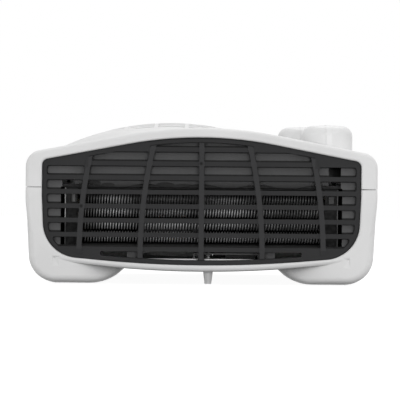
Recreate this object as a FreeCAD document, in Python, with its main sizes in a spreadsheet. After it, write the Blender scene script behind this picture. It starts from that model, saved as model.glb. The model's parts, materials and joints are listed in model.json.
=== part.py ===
import FreeCAD, Part
import Sketcher
import math
import os
from types import SimpleNamespace

# Flat fan heater, millimetres. +X is the viewer's right, -Y the hot-air side, +Z up.
# The origin lies on the floor under the middle of the casing.

DRIVING_SIZES = {
    # casing: two moulded halves that meet at the parting height
    "casing_width": 260.0,
    "casing_depth": 200.0,
    "casing_wall": 2.5,
    "rim_wall": 3.0,
    "crown_height": 116.8,
    "arch_radius": 295.0,
    "flank_angle": 10.8,
    "shoulder_radius": 12.0,
    "waist_height": 61.0,
    "waist_slant": 7.0,
    "waist_radius": 80.0,
    "haunch_radius": 30.0,
    "belly_height": 10.3,
    "belly_radius": 760.0,
    "belly_angle": 6.0,
    "parting_height": 72.0,
    "straight_depth": 90.0,
    "rear_scale": 0.86,
    "scale_height": 63.0,
    "rim_fillet": 3.0,
    "rear_fillet": 7.0,
    "mouth_fillet": 1.3,
    "seam_gap": 0.6,
    "seam_depth": 1.0,
    # two runner feet moulded with the lower half
    "foot_width": 79.4,
    "foot_inset": 0.65,
    "foot_setback": 0.03,
    "foot_top": 56.2,
    "foot_slant": 3.0,
    "foot_heel": 20.0,
    "foot_toe": 34.0,
    "foot_sink": 0.3,
    "foot_brow": 21.0,
    "foot_sweep": 75.0,
    "foot_bow": 45.0,
    "foot_lift": 3.0,
    "foot_fillet": 5.0,
    "foot_rear_gap": 20.0,
    "foot_rear_fillet": 9.0,
    "dent_inset": 19.6,
    "dent_width": 7.4,
    "dent_height": 9.5,
    "dent_top": 21.5,
    "dent_depth": 0.9,
    "dent_corner": 1.6,
    # raised air intake on the top
    "intake_x": -24.0,
    "intake_rear_gap": 90.0,
    "dome_height": 125.3,
    "dome_radius": 205.0,
    "dome_reach": 88.0,
    "dome_edge": 3.0,
    "dome_root": 90.0,
    "intake_radius": 58.0,
    "intake_gap": 0.3,
    "intake_flange": 3.0,
    "intake_flange_wall": 1.8,
    "intake_border": 5.0,
    "intake_slot": 5.0,
    "intake_pitch": 8.6,
    "intake_rib": 3.0,
    "intake_rib_pitch": 24.0,
    # outlet grille
    "grille_side": 12.5,
    "grille_crown": 109.1,
    "grille_arch": 287.0,
    "grille_corner": 4.5,
    "grille_waist": 66.0,
    "grille_slant": 2.5,
    "grille_waist_radius": 80.0,
    "grille_haunch": 26.0,
    "grille_sill": 15.5,
    "grille_sill_radius": 850.0,
    "grille_sill_angle": 5.0,
    "grille_recess": 2.0,
    "grille_plate": 3.0,
    "grille_gap": 0.4,
    "grille_flange": 1.5,
    "grille_border": 3.3,
    "slot_height": 7.0,
    "slot_pitch": 10.55,
    "top_slot_height": 105.85,
    "slot_round": 1.5,
    "top_slot_round": 0.75,
    "rib_pitch": 45.1,
    "rib_width": 4.2,
    "rib_bow": 373.0,
    "rib_foot": 20.0,
    "rib_proud": 0.5,
    # controls on the right of the top: the nearer knob selects, the farther sets the temperature
    "selector_inset": 33.0,
    "selector_setback": 60.0,
    "selector_sink": 1.32,
    "thermostat_inset": 48.0,
    "thermostat_rear_gap": 75.0,
    "thermostat_sink": 2.58,
    "knob_diameter": 39.5,
    "well_margin": 1.75,
    "bush_radius": 4.8,
    "bush_gap": 0.1,
    # casing screws, driven up through the feet
    "screw_inset": 17.0,
    "screw_rear_inset": 23.0,
    "screw_setback": 22.0,
    "screw_rear_gap": 45.0,
    "post_radius": 5.8,
    "screw_radius": 1.8,
    "screw_gap": 0.05,
    "screw_grip": 16.0,
    "screw_head_radius": 3.6,
    "head_gap": 0.5,
    "screw_seat": 56.0,
    # air duct and fan scroll
    "duct_setback": 6.8,
    "duct_wall": 2.0,
    "duct_length": 39.0,
    "duct_floor": 27.5,
    "rib_wall": 2.5,
    "duct_rib_x": 50.75,
    "duct_tab_width": 8.5,
    "duct_tab_low": 15.6,
    "sill_rib_top": 19.7,
    "duct_rib_tail": 34.0,
    "scroll_rib_y": 48.0,
    "scroll_rib_half": 30.0,
    # tip-over switch under the middle
    "plunger_x": 5.4,
    "plunger_setback": 30.0,
    "plunger_radius": 3.8,
    "plunger_gap": 0.3,
    "bracket_left": -6.0,
    "bracket_right": 44.0,
    "bracket_wall": 1.5,
    "bracket_plate": 22.4,
    "bracket_plate_wall": 1.2,
    "bracket_half": 8.0,
    "pad_margin": 1.5,
    "pad_height": 14.8,
    # cord gland in a round recess of the rear wall, and the terminal block's seat
    "gland_inset": 58.0,
    "gland_height": 42.0,
    "gland_radius": 6.0,
    "gland_gap": 0.1,
    "gland_recess": 11.0,
    "gland_depth": 4.0,
    "gland_wall": 2.5,
    "block_inset": 52.0,
    "block_rear_gap": 48.0,
    "block_length": 34.0,
    "block_width": 14.0,
    "block_seat": 30.0,
    "block_height": 12.0,
    # knobs and what they turn
    "knob_height": 19.2,
    "knob_edge": 8.0,
    "knob_crown": 0.6,
    "knob_wall": 2.2,
    "knob_lift": 0.6,
    "knob_boss_radius": 6.0,
    "knob_boss_lift": 5.0,
    "knob_bore_depth": 15.0,
    "pointer_width": 4.0,
    "pointer_proud": 0.8,
    "pointer_crest": 0.3,
    "pointer_root": 0.5,
    "pointer_low": 2.0,
    "spindle_radius": 3.0,
    "spindle_flat": 2.0,
    "spindle_tail": 6.0,
    "fit_gap": 0.05,
    "bush_rise": 3.5,
    "nut_across": 14.0,
    "nut_height": 2.0,
    "control_drop": 2.0,
    "control_seat": 6.5,
    "switch_radius": 14.0,
    "switch_height": 16.0,
    "blade_width": 6.3,
    "blade_wall": 0.8,
    "blade_gap": 2.7,
    "blade_circle": 8.5,
    "thermostat_length": 26.0,
    "thermostat_width": 16.0,
    "thermostat_height": 9.0,
    "strip_length": 34.0,
    "strip_width": 8.0,
    "strip_wall": 0.8,
    "strip_drop": 3.0,
    # duct mouth, scroll round the fan and the duct's front plate
    "duct_inset": 25.6,
    "duct_top": 72.5,
    "duct_plate_overlap": 0.5,
    "duct_scallop_half": 15.0,
    "duct_scallop_rise": 2.5,
    "duct_notch_inset": 10.3,
    "duct_notch_width": 9.2,
    "duct_notch_left": 80.5,
    "duct_notch_right": 91.0,
    "scroll_wide": 70.0,
    "scroll_narrow": 62.0,
    "tongue_setback": 20.0,
    "inlet_radius": 42.0,
    "inlet_rise": 4.0,
    # motor and fan wheel
    "motor_seat": 33.5,
    "motor_plate_wall": 1.5,
    "motor_rail": 3.0,
    "stack_half": 23.0,
    "stack_front": 22.0,
    "stack_back": 40.0,
    "stack_height": 14.0,
    "rotor_bore": 12.4,
    "rotor_gap": 0.5,
    "end_gap": 0.4,
    "leg_front": 29.0,
    "window_front": 17.0,
    "window_half": 13.0,
    "winding_half": 12.0,
    "winding_wall": 10.3,
    "winding_rise": 3.3,
    "winding_gap": 0.2,
    "bracket_back": 16.0,
    "motor_bush_radius": 5.0,
    "motor_bush_length": 3.3,
    "motor_bush_wall": 2.0,
    "shaft_radius": 2.5,
    "shaft_low": 29.8,
    "motor_screw_x": 16.0,
    "motor_screw_y": 17.0,
    "motor_screw_radius": 1.5,
    "motor_screw_head": 3.0,
    "motor_screw_head_height": 1.8,
    "wheel_low": 52.0,
    "wheel_high": 71.0,
    "wheel_radius": 52.0,
    "wheel_disc": 1.5,
    "wheel_ring": 1.5,
    "wheel_ring_inner": 45.0,
    "hub_radius": 7.0,
    "hub_height": 12.0,
    "blade_root": 37.0,
    "blade_tip_x": 49.9,
    "blade_tip_y": 7.5,
    "blade_bow": 14.0,
    "blade_skin": 1.2,
    # heating element in the duct mouth
    "element_setback": 5.0,
    "element_depth": 20.0,
    "mica_wall": 0.8,
    "panel_wall": 1.2,
    "panel_inset": 3.9,
    "panel_width": 8.5,
    "board_inset": 3.5,
    "side_plate_wall": 0.8,
    "coil_setback": 12.0,
    "coil_low": 35.5,
    "coil_pitch": 9.4,
    "coil_radius": 3.95,
    "coil_wire": 0.45,
    "coil_overlap": 0.5,
    "coil_straight": 1.5,
    "coil_bend": 2.0,
    "coil_hole": 4.6,
    "support_x": 45.0,
    "terminal_half": 1.5,
    "terminal_length": 3.5,
    "terminal_depth": 8.8,
    "cutout_inset": 4.0,
    "cutout_z": 63.8,
    "cutout_half_width": 1.9,
    "cutout_half_height": 2.6,
    "cutout_depth": 3.0,
    "fuse_inset": 2.7,
    "fuse_z": 64.9,
    "fuse_radius": 2.2,
    "fuse_length": 7.0,
    # tip-over switch: plunger, spring, switch and lever
    "plunger_tip": 2.5,
    "plunger_taper": 10.0,
    "collar_radius": 6.5,
    "collar_low": 17.6,
    "collar_wall": 1.4,
    "arm_end": 18.0,
    "arm_width": 5.0,
    "stem_radius": 2.2,
    "stem_top": 27.2,
    "stem_gap": 0.1,
    "spring_radius": 3.4,
    "spring_wire": 0.3,
    "spring_gap": 0.1,
    "microswitch_left": 18.3,
    "microswitch_right": 40.7,
    "microswitch_low": 20.0,
    "microswitch_high": 26.5,
    "microswitch_half": 5.0,
    "window_gap": 0.3,
    "lever_gap": 0.3,
    "lever_wall": 0.4,
    "lever_tip": 14.0,
    "lever_tail": 40.0,
    "lever_half": 2.5,
    "pin_x": 39.5,
    "pin_radius": 0.6,
    "ear_low": 18.3,
    "ear_left": 37.5,
    "ear_inner": 2.8,
    "ear_outer": 4.5,
    # gland, terminal screws and casing screw heads
    "gland_flange": 9.0,
    "gland_flange_wall": 2.0,
    "gland_nose": 7.5,
    "gland_nose_length": 1.5,
    "gland_bore": 3.6,
    "gland_tail": 3.0,
    "gland_nut_across": 17.0,
    "gland_nut_wall": 2.0,
    "block_hole": 2.2,
    "block_screw": 2.0,
    "block_screw_height": 5.0,
    "screw_head_height": 2.6,
    "screw_end_gap": 1.0,
}


class Size:
    """A length or angle that keeps both its value and the sheet formula that gives it."""

    def __init__(self, value, text):
        self.value = value
        self.text = text

    def __add__(self, other):
        other = as_size(other)
        return Size(self.value + other.value, f"({self.text} + {other.text})")

    def __radd__(self, other):
        return as_size(other) + self

    def __sub__(self, other):
        other = as_size(other)
        return Size(self.value - other.value, f"({self.text} - {other.text})")

    def __rsub__(self, other):
        return as_size(other) - self

    def __mul__(self, other):
        other = as_size(other)
        return Size(self.value * other.value, f"({self.text} * {other.text})")

    def __rmul__(self, other):
        return as_size(other) * self

    def __truediv__(self, other):
        other = as_size(other)
        return Size(self.value / other.value, f"({self.text} / {other.text})")

    def __neg__(self):
        return Size(-self.value, f"(0 - {self.text})")


def as_size(number):
    if isinstance(number, Size):
        return number
    return Size(float(number), f"({float(number)!r})")


def sine(angle):
    return Size(math.sin(math.radians(angle.value)), f"sin({angle.text})")


def cosine(angle):
    return Size(math.cos(math.radians(angle.value)), f"cos({angle.text})")


def tangent(angle):
    return Size(math.tan(math.radians(angle.value)), f"tan({angle.text})")


def root(number):
    return Size(math.sqrt(number.value), f"sqrt({number.text})")


doc = FreeCAD.newDocument("fan_heater")
sheet = doc.addObject("Spreadsheet::Sheet", "Sizes")
for row, (alias, number) in enumerate(DRIVING_SIZES.items(), start=1):
    sheet.set(f"A{row}", alias)
    sheet.set(f"B{row}", str(number))
    sheet.setAlias(f"B{row}", alias)
doc.recompute()
size = SimpleNamespace(
    **{alias: Size(float(sheet.get(alias)), f"Sizes.{alias}") for alias in DRIVING_SIZES}
)

# Places worked out from the casing's faces, so that the pieces keep together when it changes size
casing_half = size.casing_width / 2
rim_front = -size.casing_depth / 2
rear_face = size.casing_depth / 2
foot_front = rim_front + size.foot_setback
size.grille_width = size.casing_width - 2 * size.grille_side
size.foot_outer = casing_half - size.foot_inset
size.foot_inner = size.foot_outer - size.foot_width
size.intake_y = rear_face - size.intake_rear_gap
size.selector_x = casing_half - size.selector_inset
size.selector_y = rim_front + size.selector_setback
size.thermostat_x = casing_half - size.thermostat_inset
size.thermostat_y = rear_face - size.thermostat_rear_gap
size.roof_x = size.arch_radius * sine(size.flank_angle)
size.roof_z = size.crown_height - size.arch_radius * (1 - cosine(size.flank_angle))
size.selector_roof = size.roof_z - (size.selector_x - size.roof_x) * tangent(size.flank_angle)
size.selector_floor = size.selector_roof - size.selector_sink
size.thermostat_roof = size.roof_z - (size.thermostat_x - size.roof_x) * tangent(size.flank_angle)
size.thermostat_floor = size.thermostat_roof - size.thermostat_sink
size.screw_x = casing_half - size.screw_inset
size.screw_rear_x = casing_half - size.screw_rear_inset
size.screw_front_y = rim_front + size.screw_setback
size.screw_rear_y = rear_face - size.screw_rear_gap
size.plunger_y = rim_front + size.plunger_setback
size.gland_x = casing_half - size.gland_inset
size.block_x = casing_half - size.block_inset
size.block_y = rear_face - size.block_rear_gap
size.duct_half = casing_half - size.duct_inset
size.tongue_y = size.intake_y - size.tongue_setback
size.element_front = rim_front + size.duct_setback + size.element_setback
size.coil_y = size.element_front + size.coil_setback
size.board_half = size.duct_half - size.board_inset
size.panel_outer = size.duct_half - size.panel_inset
size.panel_inner = size.panel_outer - size.panel_width
size.coil_half = size.panel_inner + size.coil_overlap
size.cutout_x = size.panel_outer - size.cutout_inset
size.fuse_x = -size.panel_inner - size.fuse_inset

vector = FreeCAD.Vector
TURNED = {
    "x": FreeCAD.Rotation(vector(0, 1, 0), 90),
    "y": FreeCAD.Rotation(vector(1, 0, 0), -90),
    "z": FreeCAD.Rotation(),
    "front": FreeCAD.Rotation(vector(1, 0, 0), 90),
}
PLANES = {"front": "XZ_Plane", "plan": "XY_Plane", "side": "YZ_Plane"}
REAR_STEPS = 3
BOW_STEPS = 3
subparts = {}


def bind(thing, path, amount):
    thing.setExpression(path, as_size(amount).text)


def place(thing, spot, axis="z"):
    thing.Placement = FreeCAD.Placement(vector(*[as_size(c).value for c in spot]), TURNED[axis])
    for letter, amount in zip("xyz", spot):
        bind(thing, f"Placement.Base.{letter}", amount)
    return thing


def new_body(name):
    return doc.addObject("PartDesign::Body", name)


def new_sketch(body, name, plane, offset=0):
    """A sketch on one of the body's own planes, moved along that plane's normal."""
    sketch = body.newObject("Sketcher::SketchObject", name)
    support = [f for f in body.Origin.OriginFeatures if f.Role == PLANES[plane]][0]
    sketch.AttachmentSupport = (support, "")
    sketch.MapMode = "FlatFace"
    sketch.AttachmentOffset = FreeCAD.Placement(
        vector(0, 0, as_size(offset).value), FreeCAD.Rotation()
    )
    bind(sketch, "AttachmentOffset.Base.z", offset)
    return sketch


def draw(sketch, corners):
    """A closed outline. Each corner is (x, y) and may add the radius of the arc that leaves it,
    positive where the arc turns left."""
    first = sketch.GeometryCount
    ends = []
    for index, corner in enumerate(corners):
        follower = corners[(index + 1) % len(corners)]
        here = vector(as_size(corner[0]).value, as_size(corner[1]).value, 0)
        there = vector(as_size(follower[0]).value, as_size(follower[1]).value, 0)
        if len(corner) == 2:
            sketch.addGeometry(Part.LineSegment(here, there), False)
            ends.append((1, 2))
            continue
        radius = as_size(corner[2]).value
        chord = there - here
        left = vector(-chord.y, chord.x, 0).normalize()
        reach = math.sqrt(radius * radius - chord.Length ** 2 / 4)
        centre = (here + there) * 0.5 + left * math.copysign(reach, radius)
        start, end = (here, there) if radius > 0 else (there, here)
        arc = Part.ArcOfCircle(
            Part.Circle(centre, vector(0, 0, 1), abs(radius)),
            math.atan2(start.y - centre.y, start.x - centre.x),
            math.atan2(end.y - centre.y, end.x - centre.x),
        )
        sketch.addGeometry(arc, False)
        ends.append((1, 2) if radius > 0 else (2, 1))
    for index, corner in enumerate(corners):
        edge = first + index
        follower = (index + 1) % len(corners)
        joint = Sketcher.Constraint(
            "Coincident", edge, ends[index][1], first + follower, ends[follower][0]
        )
        sketch.addConstraint(joint)
        for kind, amount in zip(("DistanceX", "DistanceY"), corner):
            hold(sketch, kind, amount, -1, 1, edge, ends[index][0])
        if len(corner) == 3:
            hold(sketch, "Radius", corner[2] if as_size(corner[2]).value > 0 else -corner[2], edge)
    return sketch


def hold(sketch, kind, amount, *where):
    number = sketch.addConstraint(Sketcher.Constraint(kind, *where, as_size(amount).value))
    bind(sketch, f"Constraints[{number}]", amount)


def ring(sketch, x, y, radius):
    """A circle in a sketch."""
    spot = vector(as_size(x).value, as_size(y).value, 0)
    edge = sketch.addGeometry(Part.Circle(spot, vector(0, 0, 1), as_size(radius).value), False)
    hold(sketch, "Radius", radius, edge)
    hold(sketch, "DistanceX", x, -1, 1, edge, 3)
    hold(sketch, "DistanceY", y, -1, 1, edge, 3)
    return sketch


def rectangle(x_low, y_low, x_high, y_high):
    return [(x_low, y_low), (x_high, y_low), (x_high, y_high), (x_low, y_high)]


def pad(body, sketch, length, reverse=False):
    feature = body.newObject("PartDesign::Pad", sketch.Name + "_pad")
    feature.Profile = sketch
    feature.Reversed = reverse
    bind(feature, "Length", length)
    return feature


def pocket(body, sketch, length, reverse=False):
    feature = body.newObject("PartDesign::Pocket", sketch.Name + "_pocket")
    feature.Profile = sketch
    feature.Reversed = reverse
    bind(feature, "Length", length)
    return feature


def revolve(body, sketch, axis="V_Axis"):
    feature = body.newObject("PartDesign::Revolution", sketch.Name + "_turned")
    feature.Profile = sketch
    feature.ReferenceAxis = (sketch, [axis])
    feature.Angle = 360.0
    return feature


def loft_through(body, name, sections):
    loft = body.newObject("PartDesign::AdditiveLoft", name)
    loft.Profile = sections[0]
    loft.Sections = sections[1:]
    return loft


def fillet(body, base, radius, wanted):
    """Rounds the edges of the body's last feature that the test picks out."""
    doc.recompute()
    names = [f"Edge{i}" for i, edge in enumerate(base.Shape.Edges, start=1) if wanted(edge)]
    feature = body.newObject("PartDesign::Fillet", base.Name + "_rounded")
    feature.Base = (base, names)
    bind(feature, "Radius", radius)
    return feature


def box(name, low, high):
    thing = doc.addObject("Part::Box", name)
    for side, start, end in zip(("Length", "Width", "Height"), low, high):
        bind(thing, side, as_size(end) - start)
    return place(thing, low)


def cylinder(name, radius, height, spot, axis="z"):
    thing = doc.addObject("Part::Cylinder", name)
    bind(thing, "Radius", radius)
    bind(thing, "Height", height)
    return place(thing, spot, axis)


def fuse(name, *things):
    union = doc.addObject("Part::MultiFuse", name)
    union.Shapes = list(things)
    return union


def common(name, *things):
    shared = doc.addObject("Part::MultiCommon", name)
    shared.Shapes = list(things)
    return shared


def group(name, *things):
    gathered = doc.addObject("Part::Compound", name)
    gathered.Links = list(things)
    return gathered


def cut(name, base, *tools):
    thing = doc.addObject("Part::Cut", name)
    thing.Base = base
    thing.Tool = tools[0] if len(tools) == 1 else fuse(name + "_tools", *tools)
    return thing


def finished(label, thing):
    thing.Label = label
    subparts[label] = thing
    return thing


def free_face(name, corners, depth):
    """An upright flat face across the depth, from an outline seen from the front."""
    sketch = doc.addObject("Sketcher::SketchObject", name + "_outline")
    place(sketch, (0, depth, 0), "front")
    draw(sketch, corners)
    face = doc.addObject("Part::Face", name)
    face.Sources = [sketch]
    return face


def thicken(name, face, length):
    """Extrudes an upright face towards the rear."""
    prism = doc.addObject("Part::Extrusion", name)
    prism.Base = face
    prism.DirMode = "Custom"
    prism.Dir = vector(0, 1, 0)
    prism.Solid = True
    bind(prism, "LengthFwd", length)
    return prism


def mirrored(corners):
    """The same outline on the other side of the centre line, still drawn anticlockwise."""
    flipped = []
    for index in reversed(range(len(corners))):
        x, y = corners[index][:2]
        flipped.append((-x, y, *corners[index - 1][2:]))
    return flipped


def barrel(form, inset=0, scale=1, about=0):
    """The arched barrel outline seen from the front, drawn anticlockwise from the crown's right end.
    It is inset evenly all round, then scaled about a point on the centre line."""
    half = form.half - inset
    arch = form.arch - inset
    sill = form.sill_radius - inset
    shoulder = form.shoulder - inset
    waist_radius = form.waist_radius - inset
    haunch = form.haunch - inset
    crown_x = arch * sine(form.flank)
    crown_z = form.crown - inset - arch * (1 - cosine(form.flank))
    peak_z = crown_z - (half - crown_x) * tangent(form.flank)
    shoulder_run = shoulder * tangent((90 - form.flank) / 2)
    waist_z = form.waist - inset * tangent(form.slant / 2)
    waist_run = waist_radius * tangent(form.slant / 2)
    sill_x = sill * sine(form.sill_angle)
    sill_z = form.sill + inset + sill * (1 - cosine(form.sill_angle))
    slopes = tangent(form.sill_angle) * tangent(form.slant)
    heel_x = (half - (waist_z - sill_z) * tangent(form.slant) - sill_x * slopes) / (1 - slopes)
    heel_z = sill_z + (heel_x - sill_x) * tangent(form.sill_angle)
    heel_run = haunch * tangent((90 - form.slant - form.sill_angle) / 2)
    right = [
        (sill_x, sill_z, None),
        (heel_x - heel_run * cosine(form.sill_angle), heel_z - heel_run * sine(form.sill_angle), haunch),
        (heel_x + heel_run * sine(form.slant), heel_z + heel_run * cosine(form.slant), None),
        (half - waist_run * sine(form.slant), waist_z - waist_run * cosine(form.slant), waist_radius),
        (half, waist_z + waist_run, None),
        (half, peak_z - shoulder_run, shoulder),
        (half - shoulder_run * cosine(form.flank), peak_z + shoulder_run * sine(form.flank), None),
        (crown_x, crown_z, arch),
    ]
    radii = [corner[2] for corner in right]
    left_radii = radii[-2::-1] + [sill]
    left = [(-x, z, radius) for (x, z, _), radius in zip(reversed(right), left_radii)]
    corners = []
    for x, z, radius in right + left:
        spot = (x * scale, about + (z - about) * scale)
        corners.append(spot if radius is None else (*spot, radius * scale))
    return corners


casing_form = SimpleNamespace(
    half=casing_half,
    crown=size.crown_height,
    arch=size.arch_radius,
    flank=size.flank_angle,
    shoulder=size.shoulder_radius,
    waist=size.waist_height,
    slant=size.waist_slant,
    waist_radius=size.waist_radius,
    haunch=size.haunch_radius,
    sill=size.belly_height,
    sill_radius=size.belly_radius,
    sill_angle=size.belly_angle,
)
grille_form = SimpleNamespace(
    half=size.grille_width / 2,
    crown=size.grille_crown,
    arch=size.grille_arch,
    flank=size.flank_angle,
    shoulder=size.grille_corner,
    waist=size.grille_waist,
    slant=size.grille_slant,
    waist_radius=size.grille_waist_radius,
    haunch=size.grille_haunch,
    sill=size.grille_sill,
    sill_radius=size.grille_sill_radius,
    sill_angle=size.grille_sill_angle,
)


def barrel_body(name, inset, front, back):
    """The casing's barrel between two depths: straight at the front, drawn in along a parabola behind."""
    body = new_body(name)
    straight_end = rim_front + size.straight_depth
    face = new_sketch(body, f"{name}_face", "front", -straight_end)
    draw(face, barrel(casing_form, inset))
    pad(body, face, straight_end - front)
    sections = []
    for step in range(REAR_STEPS + 1):
        share = step / REAR_STEPS
        scale = 1 - (1 - size.rear_scale) * share * share
        depth = straight_end + (back - straight_end) * share
        section = new_sketch(body, f"{name}_section_{step}", "front", -depth)
        sections.append(draw(section, barrel(casing_form, inset, scale, size.scale_height)))
    return body, loft_through(body, f"{name}_loft", sections)


def lies_at(depth):
    """Picks the edges that lie in one upright plane across the depth."""
    return lambda edge: all(abs(v.Y - depth.value) < 0.01 for v in edge.Vertexes)


def foot_section(inset, scale, lift):
    """The right foot seen from the front: a slanted outer wall on a round heel, and a round toe inwards."""
    slant = size.foot_slant
    high = size.foot_top
    low = inset + lift - size.foot_sink
    near = size.foot_inner + inset
    far = size.foot_outer * scale - inset
    heel = size.foot_heel - inset
    toe = size.foot_toe - inset
    corner = far - (high - low) * tangent(slant)
    run = heel * tangent((90 - slant) / 2)
    return [
        (near + toe, low),
        (corner - run, low, heel),
        (corner + run * sine(slant), low + run * cosine(slant)),
        (far, high),
        (near, high),
        (near, low + toe, toe),
    ]


def foot_body(name, side, inset):
    """One runner foot; side is 1 or -1. Its front is flush with the rim at the outer end and sweeps back
    towards the inner end. Its sole bows up to the front, and its outer wall is drawn in behind."""
    body = new_body(name)
    turn = mirrored if side < 0 else list
    front = foot_front + inset
    back = rear_face - size.foot_rear_gap - inset
    straight_end = rim_front + size.straight_depth
    bow_end = foot_front + size.foot_bow
    face = new_sketch(body, f"{name}_face", "front", -straight_end)
    draw(face, turn(foot_section(inset, 1, 0)))
    pad(body, face, straight_end - bow_end)
    bows = []
    for step in range(BOW_STEPS + 1):
        depth = bow_end + (front - bow_end) * step / BOW_STEPS
        share = (bow_end - depth) / size.foot_bow
        section = new_sketch(body, f"{name}_bow_{step}", "front", -depth)
        bows.append(draw(section, turn(foot_section(inset, 1, size.foot_lift * share * share))))
    loft_through(body, f"{name}_bow", bows)
    sections = []
    for step in range(REAR_STEPS + 1):
        depth = straight_end + (back - straight_end) * step / REAR_STEPS
        share = (depth - straight_end) / (rear_face - straight_end)
        scale = 1 - (1 - size.rear_scale) * share * share
        section = new_sketch(body, f"{name}_section_{step}", "front", -depth)
        sections.append(draw(section, turn(foot_section(inset, scale, 0))))
    loft_through(body, f"{name}_loft", sections)
    brow = size.foot_outer - size.foot_brow
    beyond = size.foot_inner - 1
    radius = size.foot_sweep - inset
    run = brow - beyond
    swept = front + radius - root(radius * radius - run * run)
    sweep = new_sketch(body, f"{name}_sweep", "plan", size.foot_top + 1)
    draw(
        sweep,
        turn([(beyond, front - 1), (brow, front - 1), (brow, front, -radius), (beyond, swept)]),
    )
    return body, pocket(body, sweep, size.foot_top + 2)


def on_foot_front(side):
    """Picks the lower and outer edges of a foot's front, on the rim's plane and on the sweep behind it."""
    brow = side * (size.foot_outer - size.foot_brow).value
    radius = size.foot_sweep.value
    axis = foot_front.value + radius
    top = size.foot_top.value

    def wanted(edge):
        middle = edge.valueAt((edge.FirstParameter + edge.LastParameter) / 2)
        spots = [middle] + [vertex.Point for vertex in edge.Vertexes]
        if edge.BoundBox.ZMin > top - 0.01 or all(abs(p.x - brow) < 0.01 for p in spots):
            return False
        swept = all(abs(math.hypot(p.x - brow, p.y - axis) - radius) < 0.01 for p in spots)
        return lies_at(foot_front)(edge) or (swept and middle.y < axis)

    return wanted


def foot(name, side):
    """A foot with its front and rear edges rounded, flat underneath and clear of the grille's mouth."""
    body, last = foot_body(name, side, 0)
    last = fillet(body, last, size.foot_fillet, on_foot_front(side))
    back = rear_face - size.foot_rear_gap
    top = size.foot_top.value
    fillet(body, last, size.foot_rear_fillet,
           lambda edge: lies_at(back)(edge) and edge.BoundBox.ZMin < top - 0.01)
    mouth_edge = size.grille_gap + size.mouth_fillet
    return cut(
        f"{name}_trimmed",
        body,
        box(f"{name}_ground", (-size.casing_width, -size.casing_depth, -size.casing_depth),
            (size.casing_width, size.casing_depth, 0)),
        thicken(f"{name}_mouth", free_face(f"{name}_mouth_face", barrel(grille_form, -mouth_edge), rim_front),
                size.rim_wall),
    )


def dome_body(name, reach, inset, low):
    """A cap of a sphere over the fan, with its own upright edge."""
    body = new_body(name)
    radius = size.dome_radius - inset
    top = size.dome_height - inset
    brink = top - radius + root(radius * radius - reach * reach)
    profile = new_sketch(body, f"{name}_profile", "front")
    draw(profile, [(0, low), (reach, low), (reach, brink, radius), (0, top)])
    cap = revolve(body, profile)
    place(body, (size.intake_x, size.intake_y, 0))
    return body, cap, brink


def control(name, x, y, floor):
    return SimpleNamespace(name=name, x=x, y=y, floor=floor)


selector = control("selector", size.selector_x, size.selector_y, size.selector_floor)
thermostat = control("thermostat", size.thermostat_x, size.thermostat_y, size.thermostat_floor)
CONTROLS = (selector, thermostat)
knob_radius = size.knob_diameter / 2
well_radius = knob_radius + size.well_margin
SKY = 2 * size.dome_height

outside, loft = barrel_body("casing_outside", 0, rim_front, rear_face)
rounded = fillet(outside, loft, size.rim_fillet, lies_at(rim_front))
rounded = fillet(outside, rounded, size.rear_fillet, lies_at(rear_face))
doc.recompute()
older = [edge.CenterOfMass for edge in rounded.Shape.Edges]
mouth = draw(
    new_sketch(outside, "mouth", "front", -rim_front), barrel(grille_form, -size.grille_gap)
)
mouth_cut = pocket(outside, mouth, size.rim_wall + size.seam_depth)
fillet(
    outside,
    mouth_cut,
    size.mouth_fillet,
    lambda edge: lies_at(rim_front)(edge)
    and min((edge.CenterOfMass - spot).Length for spot in older) > 0.01,
)
inside, _ = barrel_body(
    "casing_inside", size.casing_wall, rim_front + size.rim_wall, rear_face - size.casing_wall
)
seam_core, _ = barrel_body(
    "seam_core", size.seam_depth, rim_front + size.seam_depth, rear_face - size.seam_depth
)

dome, dome_cap, dome_brink = dome_body("dome", size.dome_reach, 0, size.dome_root)
brink_level = dome_brink.value
fillet(dome, dome_cap, size.dome_edge, lambda edge: abs(edge.BoundBox.ZMin - brink_level) < 0.01
       and abs(edge.BoundBox.ZMax - brink_level) < 0.01)
dome_hollow, _, _ = dome_body(
    "dome_hollow", size.dome_reach - size.casing_wall, size.casing_wall, size.dome_root
)

feet = [foot(f"foot_{word}", side) for word, side in (("left", -1), ("right", 1))]
foot_hollows = [
    foot_body(f"foot_hollow_{word}", side, size.casing_wall)[0] for word, side in (("left", -1), ("right", 1))
]
bosses = []
wells = []
boss_cores = []
for item in CONTROLS:
    deep = size.dome_root - size.casing_wall
    bosses.append(
        cylinder(f"{item.name}_boss", well_radius, item.floor - deep, (item.x, item.y, deep))
    )
    wells.append(
        cylinder(f"{item.name}_well", well_radius, SKY, (item.x, item.y, item.floor))
    )
    boss_cores.append(
        cylinder(
            f"{item.name}_boss_core",
            well_radius + size.casing_wall,
            SKY,
            (item.x, item.y, item.floor - size.casing_wall),
        )
    )

# Solid posts, ribs and pads inside the shell, kept when it is hollowed
screw_places = [
    (side * x, y)
    for side in (-1, 1)
    for x, y in ((size.screw_x, size.screw_front_y), (size.screw_rear_x, size.screw_rear_y))
]
posts = [
    cylinder(f"screw_post_{i}", size.post_radius, SKY, (x, y, -size.belly_height))
    for i, (x, y) in enumerate(screw_places)
]
duct_front = rim_front + size.duct_setback
duct_plate_back = duct_front + size.duct_wall
duct_mouth = duct_front + size.duct_length
half_rib = size.rib_wall / 2
half_tab = size.duct_tab_width / 2 + size.end_gap
low = -size.belly_height
ribs = [
    box(
        f"duct_rib_{word}",
        (side * size.duct_rib_x - half_rib, duct_plate_back + size.end_gap, low),
        (side * size.duct_rib_x + half_rib, duct_mouth + size.duct_rib_tail, size.duct_floor),
    )
    for word, side in (("left", -1), ("right", 1))
]
ribs.append(
    box(
        "sill_rib",
        (half_tab - size.duct_rib_x, duct_front, low),
        (size.duct_rib_x - half_tab, duct_front + size.rib_wall, size.sill_rib_top),
    )
)
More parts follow.
